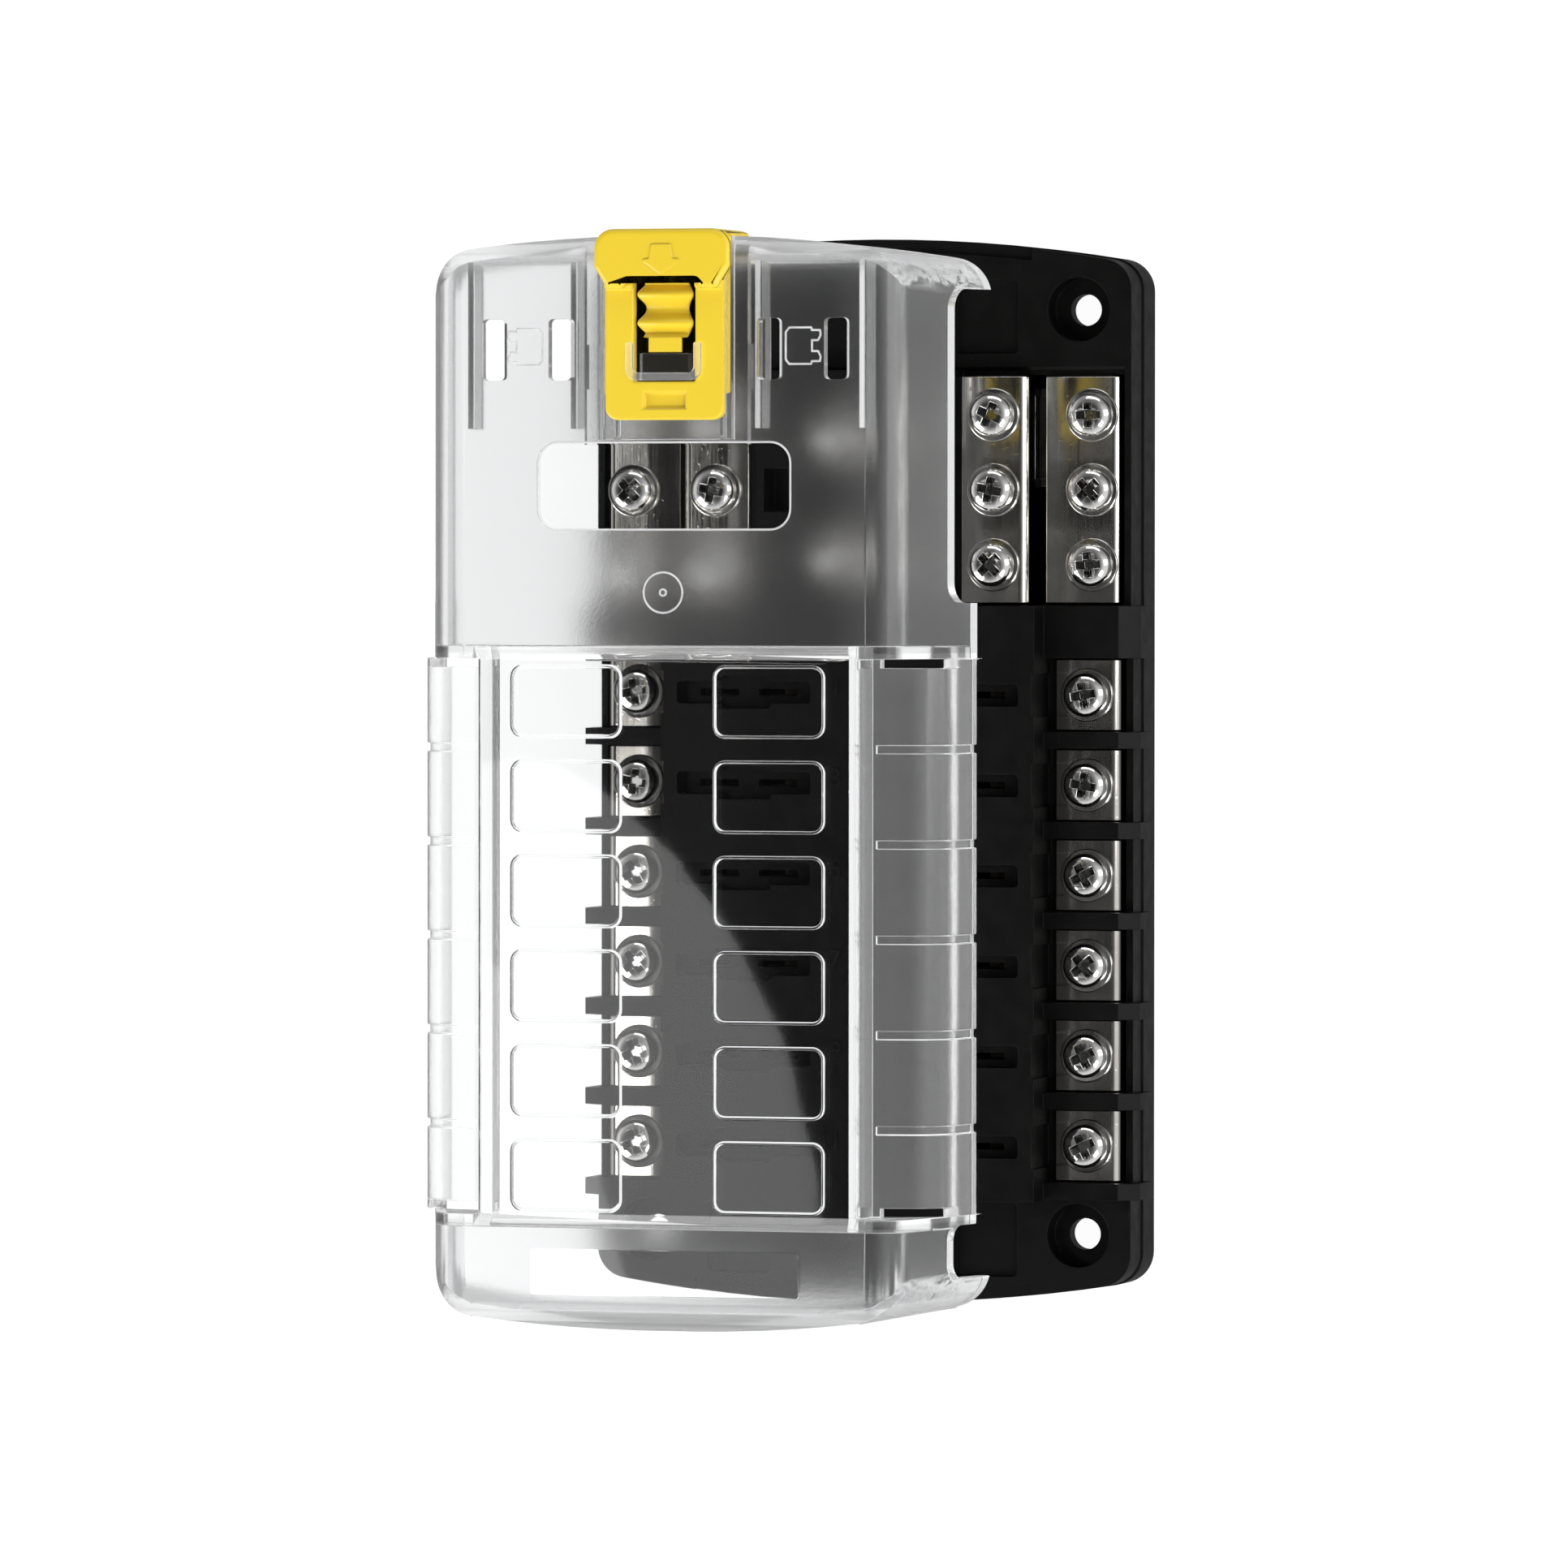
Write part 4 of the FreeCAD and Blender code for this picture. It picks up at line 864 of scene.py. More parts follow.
@dataclass
class FoldedStrip:
    """Sheet metal strip with a crowned top plate and a fold along its outer edge."""

    inner_x: float
    outer_x: float
    top_z: float
    lip_z: float
    foot_x: float | None = None
    sheet: float = 1.2 * MM
    fold_radius: float = 1.3 * MM
    crown: float = 0.24 * MM
    fold_steps: int = 8
    top_steps: int = 8
    edge: float = 0.12 * MM

    def section(self) -> list[Pair]:
        """Section of the strip in X and Z.

        Returns:
            Corners of the closed section.
        """
        bend_x = self.outer_x - self.fold_radius
        half = (bend_x - self.inner_x) / 2
        outer = []
        for step in range(self.top_steps + 1):
            share = 2 * step / self.top_steps - 1
            drop = self.crown * max(-share, 0.0) ** 2
            outer.append((self.inner_x + half * (share + 1), self.top_z - drop))
        for step in range(1, self.fold_steps + 1):
            turn = math.pi / 2 * (1 - step / self.fold_steps)
            outer.append((bend_x + self.fold_radius * math.cos(turn),
                          self.top_z - self.fold_radius + self.fold_radius * math.sin(turn)))
        inner_side = self.outer_x - self.sheet
        if self.foot_x is None:
            end = [(self.outer_x, self.lip_z), (inner_side, self.lip_z)]
        else:
            end = [(self.outer_x, self.lip_z), (self.foot_x, self.lip_z),
                   (self.foot_x, self.lip_z + self.sheet), (inner_side, self.lip_z + self.sheet)]
        under = self.top_z - self.sheet
        return outer + end + [(inner_side, under), (self.inner_x, under)]

    def build(self, name: str, y0: float, y1: float, bores: list[Triple],
              mirror: bool = False) -> Piece:
        """Makes the strip with its bores.

        Args:
            name: Name of the strip.
            y0: One end.
            y1: Other end.
            bores: X, Y and radius of each bore.
            mirror: Whether it lies on the left side.

        Returns:
            The finished strip.
        """
        sign = -1 if mirror else 1
        section = [(sign * x, z) for x, z in self.section()]
        strip = extrude_along_y(name, section, y0, y1)
        for x, y, radius in bores:
            under, over = self.top_z - 2 * self.sheet, self.top_z + self.sheet
            bore = lathe("bore", [(0, under), (radius, under), (radius, over), (0, over)], steps=40)
            bore.location = (sign * x, y, 0)
            carve(strip, bore)
        soften(strip, self.edge, angle=40.0)
        return strip


@dataclass
class FuseRows:
    """Outlet terminals with their screws and washers."""

    repeater: Repeater
    column_x: float = 35.35 * MM
    first_y: float = 11.775 * MM
    pitch: float = 13.63 * MM
    rows: int = 6
    top_z: float = 13.6 * MM
    inner_x: float = 30.4 * MM
    outer_x: float = 40.4 * MM
    plate_width: float = 10.7 * MM
    foot_x: float = 18.7 * MM
    foot_z: float = 4.4 * MM
    bore: float = 2.1 * MM
    seed: int = 11

    def terminals(self, finish: Finish) -> None:
        """Builds the twelve terminals.

        Args:
            finish: Their material.
        """
        strip = FoldedStrip(self.inner_x - self.column_x, self.outer_x - self.column_x, 0.0,
                            self.foot_z - self.top_z, self.foot_x - self.column_x)
        half = self.plate_width / 2
        master = strip.build("terminal_master", -half, half, [(0.0, 0.0, self.bore)])
        piece = self.repeater.build("outlet_terminals", master, self.column_x, self.first_y,
                                    self.pitch, self.rows, self.top_z, finish)
        remove(master)
        nodes = [f"outlet_terminal_{number:02d}" for number in range(1, 2 * self.rows + 1)]
        finish_piece(piece, Body.BASE, Slot.SHEET, finish, *nodes)

    def fasteners(self, screws: "ScrewSet", head: Finish, ring: Finish) -> None:
        """Builds the screws and washers of the terminals, with a material for each."""
        screws.fit(self.repeater, ("terminal", "outlet"), [(self.column_x, self.top_z, self.seed)],
                   (self.first_y, self.pitch, self.rows), head, ring)


@dataclass
class ScrewSet:
    """Pan head screw with a cross recess, and its flat washer."""

    head_radius: float = 3.3 * MM
    head_height: float = 2.5 * MM
    shank_radius: float = 2.0 * MM
    shank_length: float = 6.6 * MM
    lock_radius: float = 3.0 * MM
    lock_height: float = 0.5 * MM
    recess_depth: float = 1.9 * MM
    recess_length: float = 2.05 * MM
    recess_width: float = 0.64 * MM
    recess_taper: float = 0.42
    recess_rise: float = 0.3 * MM
    recess_flare: float = 1.12
    recess_reach: float = 1.15
    edge: float = 0.07 * MM
    washer_radius: float = 4.05 * MM
    washer_height: float = 0.6 * MM
    washer_bore: float = 2.1 * MM
    washer_ease: float = 0.16 * MM
    turn_spread: float = 0.75
    dome: tuple[Pair, ...] = ((1.0, 0.40), (0.985, 0.50), (0.95, 0.61), (0.89, 0.715), (0.80, 0.805),
                              (0.68, 0.88), (0.54, 0.935), (0.36, 0.975), (0.18, 0.994), (0.0, 1.0))

    def recess_arm(self, along_x: bool) -> Piece:
        """Tapered slot of the cross recess.

        Args:
            along_x: Whether it runs along X.

        Returns:
            Closed shape to cut with.
        """
        top, low = self.head_height + self.recess_rise, self.head_height - self.recess_depth
        rings = []
        for z, share in ((low, self.recess_taper), (top, self.recess_flare)):
            long, wide = self.recess_length * share, self.recess_width * (0.6 + 0.4 * share)
            if not along_x:
                long, wide = wide, long
            rings.append([(x * long, y * wide, z) for x, y in ((-1, -1), (1, -1), (1, 1), (-1, 1))])
        return shell("recess_arm", rings)

    def screw(self) -> Piece:
        """Master of the screw, standing on its washer.

        Returns:
            The finished master.
        """
        radius, shank, lock = self.head_radius, self.shank_radius, self.lock_height
        dome = [(radius * share, self.head_height * level) for share, level in self.dome]
        profile = [(0.0, -self.shank_length), (shank * 0.8, -self.shank_length),
                   (shank, -self.shank_length * 0.94), (shank, 0.0), (self.lock_radius, 0.0),
                   (self.lock_radius, lock), (radius * 0.86, lock + 0.04 * MM),
                   (radius * 0.97, lock + 0.16 * MM), (radius, lock + 0.4 * MM), *dome]
        head = lathe("screw_master", profile, steps=56)
        carve(head, self.recess_arm(True))
        carve(head, self.recess_arm(False))
        soften(head, self.edge, angle=38.0)
        # Marks each point's depth in the recess, which the steel's painted shade reads.
        self.mark_hollow(head, dome[:0:-1])
        return head

    def mark_hollow(self, head: Piece, dome: list[Pair]) -> None:
        """Stores on each point how far it lies below the dome, for the painted shade in the recess.

        Args:
            head: Screw to mark.
            dome: Radius and height of the dome's rings, from the middle outwards.
        """
        marks = head.data.attributes.new(HOLLOW, "FLOAT", "POINT")
        for point, mark in zip(head.data.vertices, marks.data):
            radius = point.co.xy.length
            below = 0.0
            for (r0, z0), (r1, z1) in zip(dome, dome[1:]):
                if r0 <= radius < r1 and radius < self.recess_length * self.recess_reach:
                    surface = z0 + (z1 - z0) * (radius - r0) / (r1 - r0)
                    below = (surface - point.co.z) / self.recess_depth
            mark.value = min(max(below, 0.0), 1.0)

    def washer(self) -> Piece:
        """Master of the washer, lying on its seat.

        Returns:
            The finished master.
        """
        radius, high, ease = self.washer_radius, self.washer_height, self.washer_ease
        profile = [(self.washer_bore, 0.0), (radius - ease, 0.0), (radius, ease * 0.7),
                   (radius, high - ease), (radius - ease * 0.35, high - ease * 0.3),
                   (radius - ease * 1.2, high), (self.washer_bore, high), (self.washer_bore, 0.0)]
        ring = lathe("washer_master", profile, steps=64)
        shade(ring, sharp=50.0)
        return ring

    def fit(self, repeater: Repeater, names: tuple[str, str], seats: list[tuple[float, float, int]],
            rows: tuple[float, float, int], head: Finish, ring: Finish) -> None:
        """Sets screws with their washers in rows on both sides.

        Args:
            repeater: Maker of the rows.
            names: How the pieces' names begin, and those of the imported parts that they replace.
            seats: Distance from the middle, height and seed of each pair of columns.
            rows: Place of the first row, pitch and number of rows.
            head: Material of the screws.
            ring: Material of the washers.
        """
        screw, washer = self.screw(), self.washer()
        heads, rings = [], []
        for x, seat, seed in seats:
            heads.append(repeater.build("heads", screw, x, *rows, seat + self.washer_height, head,
                                        self.turn_spread, seed))
            rings.append(repeater.build("rings", washer, x, *rows, seat, ring))
        for kind, parts, finish in (("screws", heads, head), ("washers", rings, ring)):
            piece = join_meshes(f"{names[0]}_{kind}", *parts)
            finish_piece(piece, Body.BASE, Slot.STEEL, finish, f"{names[1]}_{kind}")
        remove(screw)
        remove(washer)


@dataclass
class NegativeBus:
    """Folded bars of the negative bus with their screws, and both main studs."""

    repeater: Repeater
    middle_y: float = 42.75 * MM
    half_length: float = 17.1 * MM
    pitch: float = 11.3 * MM
    rows: int = 3
    outer: Triple = (28.8 * MM, 40.4 * MM, 13.6 * MM)
    inner: Triple = (16.7 * MM, 27.0 * MM, 17.8 * MM)
    lip: float = 4.8 * MM
    outer_screw_x: float = 36.1 * MM
    inner_screw_x: float = 21.8 * MM
    link_y: Pair = (43.25 * MM, 58.25 * MM)
    link_z: float = 4.4 * MM
    sheet: float = 1.2 * MM
    bore: float = 2.1 * MM
    stud_radius: float = 2.45 * MM
    stud_top: float = 30.8 * MM
    thread_pitch: float = 0.8 * MM
    thread_depth: float = 0.3 * MM
    stud_head_half: float = 3.45 * MM
    stud_head_height: float = 1.8 * MM
    thread_steps: int = 28
    levels_per_turn: int = 6
    tip_taper: float = 0.9
    edge: float = 0.1 * MM
    stud_head_edge: float = 0.25 * MM
    nut_edge: float = 0.45 * MM
    washer_edge: float = 0.15 * MM
    outer_seed: int = 5
    inner_seed: int = 8

    def screw_rows(self) -> list[float]:
        """Places of the screws along Y."""
        return [self.middle_y + self.pitch * (1 - row) for row in range(self.rows)]

    def bars(self, finish: Finish) -> None:
        """Builds the four bars and the link plate.

        Args:
            finish: Their material.
        """
        y0, y1 = self.middle_y - self.half_length, self.middle_y + self.half_length
        low, foot = self.link_z, self.link_z + self.sheet
        plates, link = [], []
        for mirror, side, name in ((False, 1, "right"), (True, -1, "left")):
            inner_x, outer_x, top = self.outer
            strip = FoldedStrip(inner_x, outer_x, top, top - self.lip)
            bores = [(self.outer_screw_x, y, self.bore) for y in self.screw_rows()]
            plates.append(strip.build("outer_bar", y0, y1, bores, mirror))
            leg = [(side * x, z) for x, z in
                   ((outer_x, top - self.lip), (outer_x, low), (0, low), (0, foot),
                    (outer_x - self.sheet, foot), (outer_x - self.sheet, top - self.lip))]
            link.append(extrude_along_y("link", leg, *self.link_y))
            inner_x, outer_x, top = self.inner
            strip = FoldedStrip(inner_x, outer_x, top, top - self.lip)
            bores = [(self.inner_screw_x, y, self.bore) for y in self.screw_rows()]
            bar = strip.build("inner_bar", y0, y1, bores, mirror)
            x0, x1 = sorted((side * (outer_x - self.sheet), side * outer_x))
            leg = block("leg", (x0, self.link_y[0] + self.sheet, foot),
                        (x1, self.link_y[1] - self.sheet, top - self.lip))
            soften(leg, self.edge)
            piece = join_meshes(f"raised_bar_{name}", bar, leg)
            finish_piece(piece, Body.BASE, Slot.SHEET, finish, f"inner_bar_{name}")
        for plate in link:
            soften(plate, self.edge)
        piece = join_meshes("outer_bars_and_link", *plates, *link)
        finish_piece(piece, Body.BASE, Slot.SHEET, finish, "negative_bus")

    def fasteners(self, screws: ScrewSet, head: Finish, ring: Finish) -> None:
        """Builds the screws and washers of the bars, with a material for each."""
        seats = [(self.outer_screw_x, self.outer[2], self.outer_seed),
                 (self.inner_screw_x, self.inner[2], self.inner_seed)]
        screws.fit(self.repeater, ("negative_bus", "bus"), seats,
                   (self.screw_rows()[0], self.pitch, self.rows), head, ring)

    def stud(self, name: str, node: str, finish: Finish) -> None:
        """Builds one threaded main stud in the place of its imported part.

        Args:
            name: Name of the piece.
            node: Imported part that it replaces.
            finish: Its material.
        """
        low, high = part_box(node)
        y = (low[1] + high[1]) / 2
        root, top, steps = low[2] + self.stud_head_height, self.stud_top, self.thread_steps
        count = int((top - root) / self.thread_pitch * self.levels_per_turn)
        rings = []
        for level in range(count + 1):
            z = root + (top - root) * level / count
            ease = max(0.0, z - top + self.thread_pitch) * self.tip_taper
            ring = []
            for k in range(steps):
                turn = 2 * math.pi * k / steps
                phase = (z / self.thread_pitch - k / steps) % 1.0
                groove = self.thread_depth * (1 - abs(2 * phase - 1))
                radius = self.stud_radius - max(groove, ease)
                ring.append((radius * math.cos(turn), y + radius * math.sin(turn), z))
            rings.append(ring)
        thread = shell("thread", rings)
        shade(thread, sharp=60.0)
        half = self.stud_head_half
        head = block("head", (-half, y - half, low[2]), (half, y + half, root))
        soften(head, self.stud_head_edge)
        finish_piece(join_meshes(name, thread, head), Body.BASE, Slot.STEEL, finish, node)

    def nuts(self, finish: Finish) -> None:
        """Builds the washers and nuts of both studs.

        Args:
            finish: Their material.
        """
        for name, node, edge in (("main_nuts", "stud_nuts", self.nut_edge),
                                 ("main_washers", "stud_washers", self.washer_edge)):
            piece = cad_copy(name, node)
            soften(piece, edge, angle=40.0)
            finish_piece(piece, Body.BASE, Slot.STEEL, finish, node)


@dataclass
class BaseMoulding:
    """Black base housing with rounded edges and raised row numbers."""

    deck_z: float = 22.0 * MM
    first_y: float = 11.775 * MM
    pitch: float = 13.63 * MM
    rows: int = 6
    digit_height: float = 2.75 * MM
    digit_raise: float = 0.22 * MM
    digit_share: float = 0.7
    odd_right_x: float = -0.4 * MM
    odd_shift: float = 0.9 * MM
    even_left_x: float = 0.1 * MM
    even_shift: float = -2.15 * MM

    def number(self, value: int) -> Piece:
        """One raised number on the deck.

        Args:
            value: The number, counted from the latch end, odd on the left.

        Returns:
            The raised number.
        """
        text = bpy.data.curves.new("number", "FONT")
        text.body = str(value)
        text.size = self.digit_height / self.digit_share
        text.extrude = self.digit_raise
        odd = value % 2 == 1
        text.align_x = "RIGHT" if odd else "LEFT"
        text.align_y = "CENTER"
        holder = new_piece("number", text)
        mesh = evaluated_mesh(holder)
        x = self.odd_right_x if odd else self.even_left_x
        y = self.first_y - (value - 1) // 2 * self.pitch + (self.odd_shift if odd else self.even_shift)
        mesh.transform(Matrix.Translation((x, y, self.deck_z)))
        bpy.data.objects.remove(holder)
        bpy.data.curves.remove(text)
        return new_piece("number", mesh)

    def build(self, finish: Finish) -> None:
        """Builds the base with its numbers.

        Args:
            finish: Its material.
        """
        dress("base_housing", finish)
        numbers = [self.number(value) for value in range(1, 2 * self.rows + 1)]
        piece = join_meshes("row_numbers", *numbers)
        finish_piece(piece, Body.BASE, Slot.BLACK, finish)


@dataclass
class ClearCover:
    """Clear cover with its raised lines and the floor of the latch's recess."""

    top_z: float = 116.3 * MM
    edge: float = 0.16 * MM
    edged_below: float = 20.0 * MM
    line_width: float = 0.3 * MM
    line_height: float = 0.1 * MM
    window: Window = (42.65 * MM, 18.9 * MM, 6.25 * MM, 3.0 * MM)
    gate_place: Pair = (-0.1 * MM, 27.4 * MM)
    gate_radius: float = 2.9 * MM
    gate_dot: float = 0.16
    icon_x: float = 20.8 * MM
    icon_y: float = 62.6 * MM
    icon_half: float = 2.6 * MM
    floor_half: float = 9.7 * MM
    floor_y: Pair = (49.3 * MM, 57.4 * MM)
    floor_z: Pair = (112.9 * MM, 113.8 * MM)
    floor_edge: float = 0.15 * MM
    rib_x: float = 7.76 * MM
    rib_half: float = 0.4 * MM
    rib_z: Pair = (112.2 * MM, 113.0 * MM)
    circle_steps: int = 48

    def latch_floor(self) -> Piece:
        """Frosted floor of the latch's recess, with two low ribs under it.

        Returns:
            The closed plate.
        """
        low, high = self.floor_z
        near, far = self.floor_y
        parts = [block("floor", (-self.floor_half, near, low), (self.floor_half, far, high))]
        half = self.rib_half
        for x in (-self.rib_x, self.rib_x):
            parts.append(block("rib", (x - half, near + half, self.rib_z[0]),
                               (x + half, far - half, self.rib_z[1])))
        for part in parts:
            soften(part, self.floor_edge)
        return join_meshes("latch_floor", *parts)

    def loop(self, points: list[Pair]) -> Piece:
        """Low rounded ridge that follows a closed line on the cover's top.

        Args:
            points: Corners of the line, counter-clockwise.

        Returns:
            The ridge.
        """
        half, high = self.line_width / 2, self.line_height
        section = ((-half, -0.5 * high), (-half * 0.8, high * 0.6), (0.0, high), (half * 0.8, high * 0.6),
                   (half, -0.5 * high))
        rings = []
        for k, point in enumerate(points):
            here, after = Vector(point), Vector(points[(k + 1) % len(points)])
            coming = (here - Vector(points[k - 1])).normalized()
            along = (coming + (after - here).normalized()).normalized()
            out = Vector((along.y, -along.x))
            stretch = 1 / max(0.5, abs(out.dot(Vector((coming.y, -coming.x)))))
            rings.append([(here.x + out.x * s * stretch, here.y + out.y * s * stretch, self.top_z + z)
                          for s, z in section])
        ridge = shell("ridge", rings, around=True)
        ridge.data.shade_smooth()
        return ridge

    def fuse_outline(self, side: int) -> list[Pair]:
        """Generic outline of a blade fuse with its two blades.

        Args:
            side: 1 for the right of the latch, -1 for the left.

        Returns:
            Its points, counter-clockwise.
        """
        lower = ((-1, -0.75), (-0.8, -1), (0.45, -1), (0.5, -0.85), (0.95, -0.85), (1, -0.6),
                 (0.85, -0.3), (0.5, -0.3))
        points = [(side * (self.icon_x + x * self.icon_half), self.icon_y + y * self.icon_half)
                  for x, y in (*lower, *((x, -y) for x, y in lower[::-1]))]
        return points if side > 0 else points[::-1]

    def window_corners(self) -> list[Triple]:
        """Corners of the raised window border, counter-clockwise, with their radius."""
        y, half_x, half_y, radius = self.window
        return both_sides([(half_x, y - half_y, radius), (half_x, y + half_y, radius)])

    def circle(self, radius: float) -> list[Pair]:
        """Points of a circle round the gate mark."""
        x, y = self.gate_place
        turns = [2 * math.pi * k / self.circle_steps for k in range(self.circle_steps)]
        return [(x + radius * math.cos(t), y + radius * math.sin(t)) for t in turns]

    def build(self, finish: Finish, line: Finish) -> None:
        """Builds the cover and its raised lines.

        Args:
            finish: Material of the cover.
            line: Material of the raised lines.
        """
        piece = cad_copy("clear_cover", "cover")
        soften(piece, self.edge, angle=60.0, below_y=self.edged_below)
        finish_piece(piece, Body.COVER, Slot.CLEAR, finish, "cover")
        finish_piece(self.latch_floor(), Body.COVER, Slot.CLEAR, finish)
        ridges = [self.loop(path) for path in (
            rounded_path(self.window_corners()), self.circle(self.gate_radius),
            self.circle(self.gate_radius * self.gate_dot), self.fuse_outline(1), self.fuse_outline(-1))]
        finish_piece(join_meshes("cover_marks", *ridges), Body.COVER, Slot.CLEAR, line)


@dataclass
class PushLatch:
    """Yellow latch with a soft-cornered hood, its wavy spring and the clear keeper over it."""

    rail_top: float = 116.1 * MM
    hood_low: float = 116.6 * MM
    hood_top: float = 117.8 * MM
    hood_half: float = 10.1 * MM
    hood_start: float = 70.9 * MM
    hood_end: float = 79.4 * MM
    hood_corner: float = 2.8 * MM
    slant_x: float = 2.0 * MM
    slant_y: float = 3.1 * MM
    brow: float = 0.9 * MM
    hood_roll: float = 0.85 * MM
    roll_steps: int = 6
    arrow_y: float = 75.2 * MM
    arrow_raise: float = 0.22 * MM
    arrow_sink: float = 0.3 * MM
    arrow_corner: float = 0.22 * MM
    arrow_edge: float = 0.1 * MM
    arrow_tip: float = -2.3 * MM
    arrow_right: tuple[Pair, ...] = ((3.1 * MM, -0.1 * MM), (1.75 * MM, -0.1 * MM), (1.45 * MM, 2.0 * MM))
    edge: float = 0.35 * MM
    opening_half: float = 4.6 * MM
    opening_end: float = 72.3 * MM
    block_y: float = 61.8 * MM
    block_end_y: float = 63.9 * MM
    block_half: float = 2.45 * MM
    crest_half: float = 4.15 * MM
    valley_half: float = 3.25 * MM
    thickness: float = 1.1 * MM
    wave_depth: float = 1.5 * MM
    waves: float = 2.0
    wave_steps: int = 72
    keep: float = 0.757
    keeper_half: float = 5.1 * MM
    keeper_y: Pair = (58.3 * MM, 63.2 * MM)
    keeper_width: float = 1.1 * MM
    keeper_z: Pair = (116.12 * MM, 116.95 * MM)
    keeper_edge: float = 0.25 * MM
    keeper_corners: Triple = (1.6 * MM, 0.9 * MM, 0.3 * MM)
    neck_half: float = 8.6 * MM
    neck_edge: float = 0.2 * MM

    def hood(self) -> Piece:
        """Hood with round corners and a rolled upper edge.

        Returns:
            The closed hood.
        """
        half, start, end = self.hood_half, self.hood_start, self.hood_end
        slant, brow = start + self.slant_y, start + self.brow
        tip, corner, turn_in = 0.8 * MM, 0.5 * MM, 0.4 * MM
        right = [(half * 0.50, brow, turn_in), (half * 0.58, start, turn_in),
                 (half - self.slant_x, start, corner), (half, slant, tip), (half, end, self.hood_corner)]
        path = rounded_path(both_sides(right))
        outward = []
        for before, after in zip(path[-1:] + path[:-1], path[1:] + path[:1]):
            along = after - before
            outward.append(Vector((along.y, -along.x)).normalized())
        ease = 0.12 * MM
        levels = [(ease, self.hood_low), (0.0, self.hood_low + ease)]
        for step in range(self.roll_steps + 1):
            turn = math.pi / 2 * step / self.roll_steps
            levels.append((self.hood_roll * (1 - math.cos(turn)),
                           self.hood_top - self.hood_roll * 0.75 * (1 - math.sin(turn))))
        piece = shell("hood", [[(p.x - n.x * inset, p.y - n.y * inset, z) for p, n in zip(path, outward)]
                               for inset, z in levels])
        soften(piece, 0.0)
        return piece

    def arrow(self) -> Piece:
        """Raised arrow that points the way to push.

        Returns:
            The closed arrow.
        """
        corners = [(x, self.arrow_y + y, self.arrow_corner)
                   for x, y in ((0.0, self.arrow_tip), *both_sides(self.arrow_right))]
        piece = prism("arrow", rounded_path(corners), self.hood_top - self.arrow_sink,
                      self.hood_top + self.arrow_raise)
        soften(piece, self.arrow_edge, angle=40.0)
        return piece

    def frame(self) -> Piece:
        """Rails, bar, apron and leg of the latch, without the hood.

        Returns:
            The closed frame.
        """
        piece = cad_copy("latch_frame", "latch")
        half, far, sky = self.opening_half, 20 * MM, 200 * MM
        carve(piece, block("over", (-far, 0.0, self.hood_low + 0.05 * MM),
                           (far, 2 * far + self.hood_end, sky)))
        carve(piece, block("opening", (-half, self.hood_start - MM, sky / 2),
                           (half, self.opening_end, sky)))
        radius, wide = self.hood_corner, 3 * self.hood_corner
        quarter = [math.pi / 2 * k / 12 for k in range(13)]
        ring = [(radius * math.cos(t), radius * math.sin(t)) for t in quarter]
        ring += [(0.0, wide), (wide, wide), (wide, 0.0)]
        for side in (1, -1):
            x, y = side * (self.hood_half - radius), self.hood_end - radius
            carve(piece, prism("corner", [(x + side * px, y + py) for px, py in ring], 80 * MM, sky))
        soften(piece, self.edge, angle=35.0, segments=3)
        return piece

    def keeper(self) -> Piece:
        """Clear U over the latch's rails, moulded on the cover's stop.

        Returns:
            The closed U.
        """
        half, wide = self.keeper_half, self.keeper_width / 2
        low, high = self.keeper_y
        outside, inside, tip = self.keeper_corners
        right = [(half + wide, low - wide, outside), (half + wide, high, tip), (half - wide, high, tip),
                 (half - wide, low + wide, inside)]
        piece = prism("latch_keeper", rounded_path(both_sides(right)), *self.keeper_z)
        soften(piece, self.keeper_edge, angle=40.0, segments=3)
        return piece

    def spring(self, finish: Finish) -> None:
        """Builds the wavy spring as one soft strip.

        Args:
            finish: Its material.
        """
        top_z, end_y = self.rail_top - 0.15 * MM, self.hood_start + self.brow + 0.3 * MM
        stations = [(self.block_y, self.block_half, top_z),
                    (self.block_end_y - 0.05 * MM, self.block_half, top_z)]
        for step in range(self.wave_steps + 1):
            share = step / self.wave_steps
            y = self.block_end_y + (end_y - self.block_end_y) * share
            wave = 0.5 - 0.5 * math.cos(2 * math.pi * self.waves * share)
            dip = self.wave_depth * (1 - wave) * min(1.0, share * 12, (1 - share) * 12)
            half = self.valley_half + (self.crest_half - self.valley_half) * wave ** 1.6
            stations.append((y, half, top_z - dip))
        rings = []
        for y, half, top in stations:
            low, ease = top - self.thickness, 0.3 * MM
            ring = [(-half, low + ease), (-half + ease, low), (half - ease, low), (half, low + ease),
                    (half, top - ease), (half - ease, top), (-half + ease, top), (-half, top - ease)]
            rings.append([(x, y, z) for x, z in ring])
        piece = shell("wave_spring", rings)
        soften(piece, 0.0)
        finish_piece(piece, Body.LATCH, Slot.YELLOW, finish, "latch_spring")
        piece.visible_glossy = False
        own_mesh(piece)

    def build(self, finish: Finish, clear: Finish) -> None:
        """Builds the latch, its spring and the keeper over it.

        Args:
            finish: Material of the latch.
            clear: Material of the keeper.
        """
        neck = block("neck", (-self.neck_half, self.opening_end, self.rail_top - 0.6 * MM),
                     (self.neck_half, self.hood_end - 0.5 * MM, self.hood_low + 0.4 * MM))
        soften(neck, self.neck_edge)
        piece = join_meshes("push_latch", self.frame(), self.hood(), self.arrow(), neck)
        finish_piece(piece, Body.LATCH, Slot.YELLOW, finish, "latch")
        piece.visible_glossy = False
        self.spring(finish)
        finish_piece(self.keeper(), Body.COVER, Slot.CLEAR, clear)


